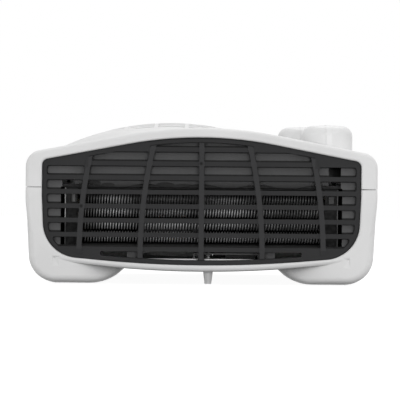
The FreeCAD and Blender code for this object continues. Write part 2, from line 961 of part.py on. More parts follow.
scroll_rib_y = size.intake_y + size.scroll_rib_y
ribs.append(
    box(
        "scroll_rib",
        (size.intake_x - size.scroll_rib_half, scroll_rib_y - half_rib, low),
        (size.intake_x + size.scroll_rib_half, scroll_rib_y + half_rib, size.duct_floor),
    )
)
switch_pads = [
    box(
        f"switch_pad_{word}",
        (x - size.pad_margin, size.plunger_y - size.bracket_half - size.pad_margin, low),
        (x + size.bracket_wall + size.pad_margin, size.plunger_y + size.bracket_half + size.pad_margin,
         size.pad_height),
    )
    for word, x in (("left", size.bracket_left), ("right", size.bracket_right - size.bracket_wall))
]
gland_boss = cylinder(
    "gland_boss",
    size.gland_recess + size.casing_wall,
    size.gland_depth + size.gland_wall,
    (size.gland_x, rear_face - size.gland_depth - size.gland_wall, size.gland_height),
    "y",
)
block_pedestal = box(
    "block_pedestal",
    (size.block_x - size.block_length / 2, size.block_y - size.block_width / 2, low),
    (size.block_x + size.block_length / 2, size.block_y + size.block_width / 2, size.block_seat),
)

hollow = fuse("casing_hollow", inside, dome_hollow, *foot_hollows)
kept_hollow = cut(
    "casing_kept_hollow", hollow, *boss_cores, *posts, *ribs, *switch_pads, gland_boss, block_pedestal
)
reach = size.casing_width
upper_half = box("upper_half", (-reach, -reach, size.parting_height), (reach, reach, SKY))
lower_half = box("lower_half", (-reach, -reach, -reach), (reach, reach, size.parting_height))
mouth_face = free_face("dome_mouth_face", barrel(grille_form, -size.grille_gap), rim_front)
mouth_block = thicken("dome_mouth", mouth_face, size.rim_wall + size.seam_depth)
clear_dome = cut("clear_dome", dome, mouth_block)
skin = cut("casing_skin", fuse("casing_blank", outside, clear_dome, *bosses), *wells)
upper_shell = cut("upper_shell", common("upper_skin", skin, upper_half), kept_hollow)
seam = cut(
    "seam",
    box(
        "seam_slab",
        (-reach, -reach, size.parting_height - size.seam_gap / 2),
        (reach, reach, size.parting_height + size.seam_gap / 2),
    ),
    seam_core,
)
lower_barrel = cut("lower_barrel", common("lower_block", outside, lower_half), seam)
lower_shell = cut("lower_shell", fuse("lower_skin", lower_barrel, *feet), kept_hollow)


def upper_casing():
    intake_hole = cylinder(
        "intake_hole",
        size.intake_radius + size.intake_gap,
        SKY,
        (size.intake_x, size.intake_y, size.dome_root),
    )
    bush_holes = [
        cylinder(f"{c.name}_bush_hole", size.bush_radius + size.bush_gap, SKY,
                 (c.x, c.y, c.floor - SKY / 2))
        for c in CONTROLS
    ]
    pilots = [
        cylinder(f"screw_pilot_{i}", size.screw_radius + size.screw_gap,
                 size.screw_grip, (x, y, size.parting_height))
        for i, (x, y) in enumerate(screw_places)
    ]
    return finished("upper_casing", cut("upper_casing", upper_shell, seam, intake_hole, *bush_holes, *pilots))


def brow_dent(name, side):
    """A shallow dent in a foot's front under the rim, deepest at its upper outer corner."""
    dent = doc.addObject("Part::Wedge", name)
    outer = casing_half - size.dent_inset
    inner = outer - size.dent_width
    deepest = outer - size.dent_corner
    spans = {
        "X": (inner, outer),
        "Y": (rim_front - size.dent_depth / 4, rim_front + size.dent_depth),
        "Z": (size.dent_top - size.dent_height, size.dent_top),
        "X2": (deepest - size.dent_depth / 4, deepest),
        "Z2": (size.dent_top - size.dent_corner, size.dent_top - size.dent_corner + size.dent_depth / 4),
    }
    for letter, (least, most) in spans.items():
        if side < 0 and letter.startswith("X"):
            least, most = -most, -least
        bind(dent, f"{letter}min", least)
        bind(dent, f"{letter}max", most)
    return dent


def lower_casing():
    head_wells = [
        cylinder(f"head_well_{i}", size.screw_head_radius + size.head_gap,
                 size.screw_seat + size.belly_height, (x, y, -size.belly_height))
        for i, (x, y) in enumerate(screw_places)
    ]
    shank_holes = [
        cylinder(f"shank_hole_{i}", size.screw_radius + size.screw_gap, size.parting_height, (x, y, 0))
        for i, (x, y) in enumerate(screw_places)
    ]
    plunger_hole = cylinder("plunger_hole", size.plunger_radius + size.plunger_gap,
                            size.pad_height, (size.plunger_x, size.plunger_y, 0))
    gland_hole = cylinder("gland_hole", size.gland_radius + size.gland_gap, size.casing_depth,
                          (size.gland_x, 0, size.gland_height), "y")
    gland_well = cylinder("gland_well", size.gland_recess, size.casing_depth,
                          (size.gland_x, rear_face - size.gland_depth, size.gland_height), "y")
    dents = [brow_dent(f"brow_dent_{word}", side) for word, side in (("left", -1), ("right", 1))]
    return finished(
        "lower_casing",
        cut("lower_casing", lower_shell, *head_wells, *shank_holes, plunger_hole, gland_hole, gland_well,
            *dents),
    )


upper_casing()
lower_casing()


grille_front = rim_front + size.grille_recess
grille_back = grille_front + size.grille_plate
flange_front = rim_front + size.rim_wall


def round_cornered(name, faces, radius):
    """The same faces with every corner rounded: each is drawn in, then let out with round joins."""
    doc.recompute()
    amount = radius.value
    feature = doc.addObject("Part::Feature", name)
    feature.Shape = Part.Compound(
        [face.makeOffset2D(-amount).makeOffset2D(amount) for face in faces.Shape.Faces]
    )
    return feature


def rib_outline(number):
    """An upright rib that bows outwards as it comes down, counted from the centre rib."""
    axis = number * size.rib_pitch - size.rib_bow
    outer = size.rib_bow + size.rib_width / 2
    inner = size.rib_bow - size.rib_width / 2
    drop = size.rib_foot
    rise = size.crown_height - size.rib_foot
    return [
        (axis + root(inner * inner - drop * drop), 0),
        (axis + root(outer * outer - drop * drop), 0, outer),
        (axis + root(outer * outer - rise * rise), size.crown_height),
        (axis + root(inner * inner - rise * rise), size.crown_height, -inner),
    ]


SLOT_ROWS = 9
RIBS_EACH_SIDE = 2


def outlet_grille():
    """A flat plate in the mouth: rows of round-ended slots between bowed upright ribs."""
    plate = new_body("grille_plate")
    rim = new_sketch(plate, "grille_rim", "front", -grille_back)
    pad(plate, draw(rim, barrel(grille_form, -size.grille_flange)), grille_back - flange_front)
    face = new_sketch(plate, "grille_face", "front", -flange_front)
    pad(plate, draw(face, barrel(grille_form)), flange_front - grille_front)

    proud = grille_front - size.rib_proud
    field = free_face("slot_field", barrel(grille_form, size.grille_border), proud)
    outlines = [rectangle(-size.rib_width / 2, 0, size.rib_width / 2, size.crown_height)]
    for number in range(1, RIBS_EACH_SIDE + 1):
        outlines += [rib_outline(number), mirrored(rib_outline(number))]
    ribs = group(
        "grille_ribs",
        *[free_face(f"grille_rib_{i}", outline, proud) for i, outline in enumerate(outlines)],
    )
    rows = []
    for number in range(SLOT_ROWS):
        middle = size.top_slot_height - number * size.slot_pitch
        bottom = middle - size.slot_height / 2
        half = size.grille_width / 2
        if number < RIBS_EACH_SIDE or number == SLOT_ROWS - 1:
            rise = bottom - size.rib_foot
            bow = size.rib_bow - root(size.rib_bow * size.rib_bow - rise * rise)
            half = min(number + 1, RIBS_EACH_SIDE) * size.rib_pitch - bow
        rows.append(
            free_face(f"slot_row_{number}", rectangle(-half, bottom, half, bottom + size.slot_height), proud)
        )
    slots = []
    for word, bands, radius in (
        ("top", rows[:1], size.top_slot_round),
        ("lower", rows[1:], size.slot_round),
    ):
        bands = common(f"{word}_bands", field, group(f"{word}_rows", *bands))
        openings = cut(f"{word}_openings", bands, ribs)
        rounded = round_cornered(f"{word}_slot_round", openings, radius)
        slots.append(thicken(f"{word}_slots", rounded, size.grille_plate + 2 * size.rib_proud))
    rib_bars = common(
        "grille_rib_bars",
        thicken("grille_rib_blocks", ribs, 2 * size.rib_proud),
        thicken("grille_field_block", field, 2 * size.rib_proud),
    )
    return finished("outlet_grille", cut("outlet_grille", fuse("grille_blank", plate, rib_bars), *slots))


def intake_grille():
    """A slotted cap of the same sphere as the dome, held under the casing by its flange."""
    body = new_body("intake_cap")
    centre = size.dome_height - size.dome_radius
    top = size.dome_radius
    under = top - size.casing_wall
    seat = under - size.intake_gap
    sole = seat - size.intake_flange_wall
    edge = size.intake_radius
    near = edge - size.intake_border
    far = edge + size.intake_flange

    def on(sphere, reach):
        return centre + root(sphere * sphere - reach * reach)

    profile = new_sketch(body, "intake_profile", "front")
    draw(
        profile,
        [
            (0, centre + under, -under),
            (near, on(under, near)),
            (near, on(sole, near), -sole),
            (far, on(sole, far)),
            (far, on(seat, far), seat),
            (edge, on(seat, edge)),
            (edge, on(top, edge), top),
            (0, centre + top),
        ],
    )
    revolve(body, profile)
    place(body, (size.intake_x, size.intake_y, 0))
    count = int((near.value - size.intake_slot.value) // size.intake_pitch.value)
    rows = []
    for number in range(-count, count + 1):
        y = size.intake_y + number * size.intake_pitch
        rows.append(
            box(
                f"intake_row_{number + count}",
                (size.intake_x - near, y - size.intake_slot / 2, size.dome_root),
                (size.intake_x + near, y + size.intake_slot / 2, SKY),
            )
        )
    half_count = int(near.value // size.intake_rib_pitch.value)
    bars = []
    for number in range(-half_count, half_count + 2):
        x = size.intake_x + (number - 0.5) * size.intake_rib_pitch
        bars.append(
            box(
                f"intake_bar_{number + half_count}",
                (x - size.intake_rib / 2, size.intake_y - near, size.dome_root),
                (x + size.intake_rib / 2, size.intake_y + near, SKY),
            )
        )
    disc = cylinder("intake_field", near - size.intake_rib / 2, SKY,
                    (size.intake_x, size.intake_y, size.dome_root))
    slots = cut("intake_slots", common("intake_bands", disc, group("intake_rows", *rows)), *bars)
    return finished("intake_grille", cut("intake_grille", body, slots))


outlet_grille()
intake_grille()


def prism(name, low, height, *outlines):
    """An upright prism on an outline seen from above; further outlines are holes in it."""
    body = new_body(name)
    sketch = new_sketch(body, f"{name}_outline", "plan", low)
    for corners in outlines:
        draw(sketch, corners)
    pad(body, sketch, height)
    return body


def hexagon(name, across, height, spot, axis="z"):
    """A six-sided prism, sized across its flats."""
    thing = doc.addObject("Part::Prism", name)
    thing.Polygon = 6
    bind(thing, "Circumradius", across / root(as_size(3)))
    bind(thing, "Height", height)
    return place(thing, spot, axis)


def knob(item):
    """A hollow round knob with a pointer ridge that runs down its front."""
    body = new_body(f"{item.name}_knob_form")
    radius, edge, wall = knob_radius, size.knob_edge, size.knob_wall
    top = size.knob_height
    brow = top - size.knob_crown
    bend = brow - edge
    roof = brow - wall
    flat = radius - edge
    crown = (flat * flat + size.knob_crown * size.knob_crown) / (2 * size.knob_crown)
    profile = new_sketch(body, f"{item.name}_knob_profile", "front")
    draw(
        profile,
        [
            (0, size.knob_boss_lift),
            (size.knob_boss_radius, size.knob_boss_lift),
            (size.knob_boss_radius, roof),
            (flat, roof, wall - edge),
            (radius - wall, bend),
            (radius - wall, 0),
            (radius, 0),
            (radius, bend, edge),
            (flat, brow, crown),
            (0, top),
        ],
    )
    revolve(body, profile)
    deep, proud = size.pointer_root, size.pointer_proud
    ridge = new_sketch(body, f"{item.name}_pointer", "side", -size.pointer_width / 2)
    draw(
        ridge,
        [
            (deep - radius, size.pointer_low),
            (deep - radius, bend, deep - edge),
            (-flat, brow - deep),
            (0, top - deep),
            (0, top + size.pointer_crest),
            (-flat, brow + size.pointer_crest, edge + proud),
            (-radius - proud, bend),
            (-radius - proud, size.pointer_low),
        ],
    )
    pad(body, ridge, size.pointer_width)
    base = item.floor + size.knob_lift
    place(body, (item.x, item.y, base))
    bore = common(
        f"{item.name}_knob_bore",
        cylinder(f"{item.name}_knob_round", size.spindle_radius + size.fit_gap,
                 size.knob_bore_depth, (item.x, item.y, base)),
        box(
            f"{item.name}_knob_flat",
            (item.x - radius, item.y - radius, base),
            (item.x + size.spindle_flat + size.fit_gap, item.y + radius, base + size.knob_bore_depth),
        ),
    )
    return finished(f"{item.name}_knob", cut(f"{item.name}_knob", body, bore))


def spindle(item):
    """A round spindle with a flat where the knob grips it."""
    low = item.floor - size.casing_wall - size.spindle_tail
    gripped = item.floor + size.knob_lift + size.knob_boss_lift
    high = item.floor + size.knob_lift + size.knob_bore_depth - size.end_gap
    rod = cylinder(f"{item.name}_rod", size.spindle_radius, high - low, (item.x, item.y, low))
    flat = box(
        f"{item.name}_rod_flat",
        (item.x + size.spindle_flat, item.y - size.bush_radius, gripped),
        (item.x + size.bush_radius, item.y + size.bush_radius, high),
    )
    return finished(f"{item.name}_spindle", cut(f"{item.name}_spindle", rod, flat))


def bushed(item, label, base):
    """A control body with its threaded bush through the casing and a bore for the spindle."""
    under = item.floor - size.casing_wall
    bush = cylinder(f"{item.name}_bush", size.bush_radius, size.casing_wall + size.bush_rise,
                    (item.x, item.y, under))
    seat = cylinder(f"{item.name}_seat", size.control_seat, size.control_drop,
                    (item.x, item.y, under - size.control_drop))
    bore = cylinder(
        f"{item.name}_bush_bore",
        size.spindle_radius + size.fit_gap,
        SKY,
        (item.x, item.y, under - size.spindle_tail - size.end_gap),
    )
    return finished(label, cut(label, fuse(f"{item.name}_blank", base, seat, bush), bore))


def controls():
    for item in CONTROLS:
        knob(item)
        spindle(item)
    under = selector.floor - size.casing_wall - size.control_drop
    drum = cylinder("selector_drum", size.switch_radius, size.switch_height,
                    (selector.x, selector.y, under - size.switch_height))
    bushed(selector, "selector_switch", drum)
    low = under - size.switch_height
    tip = size.duct_top + size.duct_wall + size.blade_gap
    blades = [
        box(
            f"selector_blade_{number}",
            (selector.x + dx * size.blade_circle - size.blade_width / 2,
             selector.y + dy * size.blade_circle - size.blade_wall / 2, tip),
            (selector.x + dx * size.blade_circle + size.blade_width / 2,
             selector.y + dy * size.blade_circle + size.blade_wall / 2, low),
        )
        for number, (dx, dy) in enumerate(((-1, 0), (1, 0), (0, -1), (0, 1)))
    ]
    finished("selector_terminals", group("selector_terminals", *blades))

    under = thermostat.floor - size.casing_wall - size.control_drop
    low = under - size.thermostat_height
    block = box(
        "thermostat_block",
        (thermostat.x - size.thermostat_length / 2, thermostat.y - size.thermostat_width / 2, low),
        (thermostat.x + size.thermostat_length / 2, thermostat.y + size.thermostat_width / 2, under),
    )
    bushed(thermostat, "thermostat_base", block)
    left = thermostat.x - size.thermostat_length / 2
    strip = fuse(
        "bimetal_blank",
        box(
            "bimetal_strip",
            (left, thermostat.y - size.strip_width / 2, low - size.strip_drop - size.strip_wall),
            (left + size.strip_length, thermostat.y + size.strip_width / 2, low - size.strip_drop),
        ),
        box(
            "bimetal_root",
            (left, thermostat.y - size.strip_width / 2, low - size.strip_drop),
            (left + size.strip_width / 2, thermostat.y + size.strip_width / 2, low),
        ),
    )
    finished("thermostat_bimetal", strip)
    nuts = [
        cut(
            f"{item.name}_nut",
            hexagon(f"{item.name}_nut_blank", size.nut_across, size.nut_height, (item.x, item.y, item.floor)),
            cylinder(f"{item.name}_nut_bore", size.bush_radius + size.fit_gap, SKY,
                     (item.x, item.y, item.floor)),
        )
        for item in CONTROLS
    ]
    finished("control_nuts", group("control_nuts", *nuts))


def duct_path(wall, front):
    """The duct and fan scroll seen from above, from the right of its mouth round to the left."""
    x, y = size.intake_x, size.intake_y
    half = size.duct_half + wall
    wide = size.scroll_wide + wall
    narrow = size.scroll_narrow + wall
    run = size.duct_half - x - size.scroll_narrow
    fall = size.tongue_y - duct_mouth
    lift = wall * (root(run * run + fall * fall) - fall) / run
    return [
        (half, front),
        (half, duct_mouth + lift),
        (x + narrow, size.tongue_y + lift),
        (x + narrow, y + size.scroll_wide - size.scroll_narrow, narrow),
        (x, y + wide, wide),
        (x - wide, y),
        (-half, duct_mouth),
        (-half, front),
    ]


def duct_plate_cuts():
    """Scallops between the ribs along the plate's lower edge, and a notch by each end of the element."""
    half, rise, top = size.duct_scallop_half, size.duct_scallop_rise, size.duct_top
    radius = (half * half + rise * rise) / (2 * rise)
    cuts = []
    lift = top - size.rib_foot
    bow = size.rib_bow - root(size.rib_bow * size.rib_bow - lift * lift)
    places = [as_size(0)]
    for number in range(1, RIBS_EACH_SIDE + 1):
        places += [number * size.rib_pitch - bow, bow - number * size.rib_pitch]
    for number, x in enumerate(places):
        under = top - size.duct_wall
        outline = [(x - half, under), (x + half, under), (x + half, top, radius), (x - half, top)]
        face = free_face(f"duct_scallop_face_{number}", outline, duct_front)
        cuts.append(thicken(f"duct_scallop_{number}", face, size.duct_wall))
    far = size.duct_half - size.duct_notch_inset + size.duct_notch_width
    for word, side, high in (("left", -1, size.duct_notch_left), ("right", 1, size.duct_notch_right)):
        edges = sorted((side * (far - size.duct_notch_width), side * far), key=lambda s: s.value)
        cuts.append(box(f"duct_notch_{word}", (edges[0], duct_front, top - size.duct_wall),
                        (edges[1], duct_plate_back, high)))
    return cuts


def air_duct():
    """Front plate behind the grille, duct floor and scroll wall in one sheet-metal piece on two tabs."""
    sheet_half = size.casing_width
    plate = thicken(
        "duct_plate_sheet",
        free_face("duct_plate", barrel(grille_form, -size.duct_plate_overlap), duct_front),
        size.duct_wall,
    )
    trimmed = common(
        "duct_plate_trimmed",
        plate,
        box(
            "duct_plate_keep",
            (-sheet_half, duct_front, size.duct_floor),
            (sheet_half, duct_plate_back, SKY),
        ),
    )
    tabs = [
        box(
            f"duct_tab_{word}",
            (side * size.duct_rib_x - size.duct_tab_width / 2, duct_front, size.duct_tab_low),
            (side * size.duct_rib_x + size.duct_tab_width / 2, duct_plate_back,
             size.duct_floor + size.duct_wall),
        )
        for word, side in (("left", -1), ("right", 1))
    ]
    hull = prism("duct_hull", size.duct_floor, size.duct_top - size.duct_floor,
                 duct_path(size.duct_wall, duct_front))
    floor = size.duct_floor + size.duct_wall
    way = prism("duct_way", floor, size.duct_top - floor, duct_path(as_size(0), rim_front))
    return finished(
        "air_duct", cut("air_duct", fuse("duct_blank", trimmed, hull, *tabs), way, *duct_plate_cuts())
    )


def duct_cover():
    """A flat lid on the duct with a raised ring round the fan's inlet."""
    spot = (size.intake_x, size.intake_y, size.duct_top)
    lid = prism("duct_lid", size.duct_top, size.duct_wall, duct_path(size.duct_wall, duct_plate_back))
    collar = cylinder("inlet_collar", size.inlet_radius + size.duct_wall,
                      size.duct_wall + size.inlet_rise, spot)
    hole = cylinder("inlet_hole", size.inlet_radius, SKY, spot)
    return finished("duct_cover", cut("duct_cover", fuse("duct_cover_blank", lid, collar), hole))


motor_x = size.intake_x
motor_y = size.intake_y
stack_low = size.motor_seat
stack_high = stack_low + size.stack_height
duct_deck = size.duct_floor + size.duct_wall


def around_motor(name, x_low, y_low, z_low, x_high, y_high, z_high):
    return box(
        name, (motor_x + x_low, motor_y + y_low, z_low), (motor_x + x_high, motor_y + y_high, z_high)
    )


def motor_cylinder(name, radius, low, high):
    return cylinder(name, radius, high - low, (motor_x, motor_y, low))


def screw_bores(name, radius):
    return [
        cylinder(f"{name}_{word}", radius, SKY,
                 (motor_x + side * size.motor_screw_x, motor_y - size.motor_screw_y, 0))
        for word, side in (("left", -1), ("right", 1))
    ]


def motor():
    """A shaded-pole motor: laminated stack, one winding, two bearing plates, rotor and shaft."""
    wide, front, back = size.stack_half, -size.stack_front, size.stack_back
    screw_hole = size.motor_screw_radius + size.fit_gap
    bush_hole = size.motor_bush_radius + size.fit_gap
    stack = around_motor("stack_block", -wide, front, stack_low, wide, back, stack_high)
    window = around_motor("stack_window", -size.window_half, size.window_front, stack_low,
                          size.window_half, size.leg_front, stack_high)
    bore = motor_cylinder("stack_bore", size.rotor_bore, stack_low, stack_high)
    stack_bores = screw_bores("stack_screw_hole", screw_hole)
    finished("motor_stack", cut("motor_stack", stack, window, bore, *stack_bores))

    gap = size.winding_gap
    outer = around_motor(
        "winding_block", -size.winding_half, size.leg_front - size.winding_wall - gap,
        stack_low - size.winding_rise - gap, size.winding_half, back + size.winding_wall + gap,
        stack_high + size.winding_rise + gap,
    )
    leg = around_motor("winding_leg", -wide, size.leg_front - gap, stack_low - gap, wide, back + gap,
                       stack_high + gap)
    finished("motor_winding", cut("motor_winding", outer, leg))

    plate_back = size.bracket_back
    base = around_motor("motor_base_plate", -wide, front, duct_deck, wide, plate_back,
                        duct_deck + size.motor_plate_wall)
    rails = [
        around_motor(f"motor_rail_{word}", low, front, duct_deck, high, plate_back, stack_low)
        for word, low, high in (
            ("left", -wide, size.motor_rail - wide), ("right", wide - size.motor_rail, wide)
        )
    ]
    low_hole = motor_cylinder("motor_base_hole", bush_hole, duct_deck, stack_low)
    finished("motor_base", cut("motor_base", fuse("motor_base_blank", base, *rails), low_hole,
                               *screw_bores("base_screw_hole", screw_hole)))

    yoke_top = stack_high + size.motor_plate_wall
    bush_top = stack_high + size.motor_bush_length
    yoke = around_motor("motor_yoke_plate", -wide, front, stack_high, wide, plate_back, yoke_top)
    cup_radius = size.motor_bush_radius + size.motor_bush_wall
    cup = motor_cylinder("motor_yoke_cup", cup_radius, stack_high, bush_top)
    high_hole = motor_cylinder("motor_yoke_hole", bush_hole, stack_high, bush_top)
    finished("motor_yoke", cut("motor_yoke", fuse("motor_yoke_blank", yoke, cup), high_hole,
                               *screw_bores("yoke_screw_hole", screw_hole)))

    bushes = []
    for word, low in (("low", duct_deck), ("high", stack_high)):
        high = low + size.motor_bush_length
        bushes.append(
            cut(
                f"motor_bush_{word}",
                motor_cylinder(f"motor_bush_{word}_round", size.motor_bush_radius, low, high),
                motor_cylinder(f"motor_bush_{word}_bore", size.shaft_radius + size.fit_gap, low, high),
            )
        )
    finished("motor_bushes", group("motor_bushes", *bushes))

    screws = []
    for word, side in (("left", -1), ("right", 1)):
        x, y = motor_x + side * size.motor_screw_x, motor_y - size.motor_screw_y
        screws.append(
            fuse(
                f"motor_screw_{word}",
                cylinder(f"motor_screw_shank_{word}", size.motor_screw_radius, yoke_top - duct_deck,
                         (x, y, duct_deck)),
                cylinder(f"motor_screw_head_{word}", size.motor_screw_head, size.motor_screw_head_height,
                         (x, y, yoke_top)),
            )
        )
    finished("motor_screws", group("motor_screws", *screws))

    shaft_top = size.wheel_low + size.hub_height
    shaft = motor_cylinder("fan_shaft", size.shaft_radius, size.shaft_low, shaft_top)
    finished("fan_shaft", shaft)
    rotor = motor_cylinder("rotor_drum", size.rotor_bore - size.rotor_gap,
                           stack_low + size.end_gap, stack_high - size.end_gap)
    rotor_bore = motor_cylinder("rotor_shaft_bore", size.shaft_radius, stack_low, stack_high)
    finished("motor_rotor", cut("motor_rotor", rotor, rotor_bore))


BLADES = 24


def fan_impeller():
    """A wheel of curved blades between a back disc and a front ring."""
    body = new_body("impeller_wheel")
    disc = new_sketch(body, "impeller_disc", "plan", size.wheel_low)
    ring(disc, 0, 0, size.wheel_radius)
    ring(disc, 0, 0, size.shaft_radius)
    pad(body, disc, size.wheel_disc)
    hub = new_sketch(body, "impeller_hub", "plan", size.wheel_low)
    ring(hub, 0, 0, size.hub_radius)
    ring(hub, 0, 0, size.shaft_radius)
    pad(body, hub, size.hub_height)
    ring_low = size.wheel_high - size.wheel_ring
    blade = new_sketch(body, "impeller_blade", "plan", size.wheel_low)
    skin = size.blade_skin
    draw(
        blade,
        [
            (size.blade_root, 0, size.blade_bow),
            (size.blade_tip_x, size.blade_tip_y),
            (size.blade_tip_x, size.blade_tip_y + skin, -size.blade_bow),
            (size.blade_root, skin),
        ],
    )
    vane = pad(body, blade, size.wheel_high - size.wheel_low)
    pattern = body.newObject("PartDesign::PolarPattern", "impeller_blades")
    pattern.Originals = [vane]
    pattern.Axis = (blade, ["N_Axis"])
    pattern.Angle = 360.0
    pattern.Occurrences = BLADES
    body.Tip = pattern
    rim = new_sketch(body, "impeller_ring", "plan", ring_low)
    ring(rim, 0, 0, size.wheel_radius)
    ring(rim, 0, 0, size.wheel_ring_inner)
    body.Tip = pad(body, rim, size.wheel_ring)
    place(body, (motor_x, motor_y, 0))
    return finished("fan_impeller", body)


def biarc(start, start_way, end, end_way):
    """Two arcs that leave one point and reach another along the two given directions."""
    span = end - start
    blend = 2 * (1 - start_way.dot(end_way))
    along = span.dot(start_way + end_way)
    if blend < 1e-9:
        reach = span.dot(span) / (4 * span.dot(end_way))
    else:
        reach = (math.sqrt(along * along + blend * span.dot(span)) - along) / blend
    joint = (start + start_way * reach + end - end_way * reach) * 0.5
    return [arc_from(start, start_way, joint), arc_from(end, -end_way, joint)]


def arc_from(start, way, end):
    """The arc that leaves a point in one direction and passes through another point."""
    chord = end - start
    angle = way.getAngle(chord)
    if angle < 1e-6:
        return Part.LineSegment(start, end).toShape()
    side = way - chord * (way.dot(chord) / chord.dot(chord))
    side.normalize()
    middle = start + chord * 0.5 + side * (chord.Length / 2 * math.tan(angle / 2))
    return Part.Arc(start, middle, end).toShape()


def wound_tube(name, stations, wire_radius, loop_radius):
    """One unbroken tube through points with directions; prints its least gap to itself."""
    edges = []
    for (start, start_way), (end, end_way) in zip(stations, stations[1:]):
        edges += biarc(start, start_way, end, end_way)
    path = Part.Wire(Part.__sortEdges__(edges))
    first, way = stations[0]
    profile = Part.Wire(Part.Circle(first, way, wire_radius).toShape())
    thing = doc.addObject("Part::Feature", name)
    thing.Shape = path.makePipeShell([profile], True, False)
    step = wire_radius
    points = path.discretize(Distance=step)
    apart = int(math.pi * loop_radius / step)
    nearest = min(
        (points[i] - points[j]).Length
        for i in range(len(points))
        for j in range(i + apart, len(points))
    )
    print(name, "least gap to itself", round(nearest - 2 * wire_radius, 2))
    return thing


def helix(start, along, inward, aside, radius, pitch, half_turns):
    """Points and directions at every half turn; the first point lies opposite to inward."""
    stations = []
    for number in range(half_turns + 1):
        angle = math.pi * number
        centre = start + along * (pitch * number / 2)
        out = aside * math.sin(angle) - inward * math.cos(angle)
        way = along * (pitch / (2 * math.pi))
        way += (aside * math.cos(angle) + inward * math.sin(angle)) * radius
        stations.append((centre + out * radius, way.normalize()))
    return stations


COILS = 4
COIL_TURNS = 8
SPRING_HALF_TURNS = 5
east = vector(1, 0, 0)
rearward = vector(0, 1, 0)
upward = vector(0, 0, 1)
element_low = duct_deck + size.mica_wall
element_high = size.duct_top - size.end_gap - size.mica_wall
coil_heights = [size.coil_low + number * size.coil_pitch for number in range(COILS)]


def heating_coils():
    radius, bend = size.coil_radius.value, size.coil_bend.value
    front = size.coil_y.value - radius
    half = size.coil_half.value
    turned = half - size.coil_straight.value - bend
    for number, level in enumerate(coil_heights, start=1):
        z = level.value
        start = vector(-turned, size.coil_y.value, z)
        loops = helix(start, east, rearward, upward, radius, 2 * turned / COIL_TURNS, 2 * COIL_TURNS)
        lead_in = [(vector(-half, front, z - bend), east), (vector(-turned - bend, front, z - bend), east)]
        lead_out = [(vector(turned + bend, front, z + bend), east), (vector(half, front, z + bend), east)]
        name = f"heating_coil_{number}"
        finished(name, wound_tube(name, lead_in + loops + lead_out, size.coil_wire.value, radius))


def element_frame():
    """Mica boards and supports round the coils, with their terminals and safety cut-outs."""
    front = size.element_front
    back = front + size.element_depth
    half = size.board_half
    finished("mica_base", box("mica_base", (-half, front, duct_deck), (half, back, element_low)))
    top = element_high + size.mica_wall
    finished("mica_top", box("mica_top", (-half, front, element_high), (half, back, top)))

    panel_back = front + size.panel_wall
    panels = []
    plates = []
    posts = []
    for word, side in (("left", -1), ("right", 1)):
        low, high = sorted((side * size.panel_inner, side * size.panel_outer), key=lambda s: s.value)
        panels.append(
            box(f"mica_panel_{word}", (low, front, element_low), (high, panel_back, element_high))
        )
        near = half + size.fit_gap
        far = near + size.side_plate_wall
        low, high = sorted((side * near, side * far), key=lambda s: s.value)
        plates.append(box(f"side_plate_{word}", (low, front, duct_deck), (high, back, top)))
        near, far = size.coil_half, size.coil_half + size.terminal_length
        low, high = sorted((side * near, side * far), key=lambda s: s.value)
        for number, level in enumerate(coil_heights, start=1):
            z = level + side * size.coil_bend
            posts.append(
                box(
                    f"coil_post_{word}_{number}",
                    (low, panel_back, z - size.terminal_half),
                    (high, panel_back + size.terminal_depth, z + size.terminal_half),
                )
            )
    finished("mica_end_panels", group("mica_end_panels", *panels))
    finished("element_side_plates", group("element_side_plates", *plates))
    finished("element_terminals", group("element_terminals", *posts))

    supports = []
    for word, x in (("left", -size.support_x), ("middle", as_size(0)), ("right", size.support_x)):
        low, high = x - size.mica_wall / 2, x + size.mica_wall / 2
        holes = [
            cylinder(f"support_hole_{word}_{number}", size.coil_hole, size.mica_wall,
                     (low, size.coil_y, level), "x")
            for number, level in enumerate(coil_heights)
        ]
        blank = box(f"support_blank_{word}", (low, front, element_low), (high, back, element_high))
        supports.append(cut(f"mica_support_{word}", blank, *holes))
    finished("mica_supports", group("mica_supports", *supports))

    cutout = box(
        "thermal_cutout",
        (size.cutout_x - size.cutout_half_width, front - size.cutout_depth,
         size.cutout_z - size.cutout_half_height),
        (size.cutout_x + size.cutout_half_width, front, size.cutout_z + size.cutout_half_height),
    )
    finished("thermal_cutout", cutout)
    finished(
        "thermal_fuse",
        cylinder("thermal_fuse", size.fuse_radius, size.fuse_length,
                 (size.fuse_x, front - size.fuse_radius, size.fuse_z - size.fuse_length / 2)),
    )


def cone(name, low_radius, high_radius, height, spot):
    thing = doc.addObject("Part::Cone", name)
    bind(thing, "Radius1", low_radius)
    bind(thing, "Radius2", high_radius)
    bind(thing, "Height", height)
    return place(thing, spot)


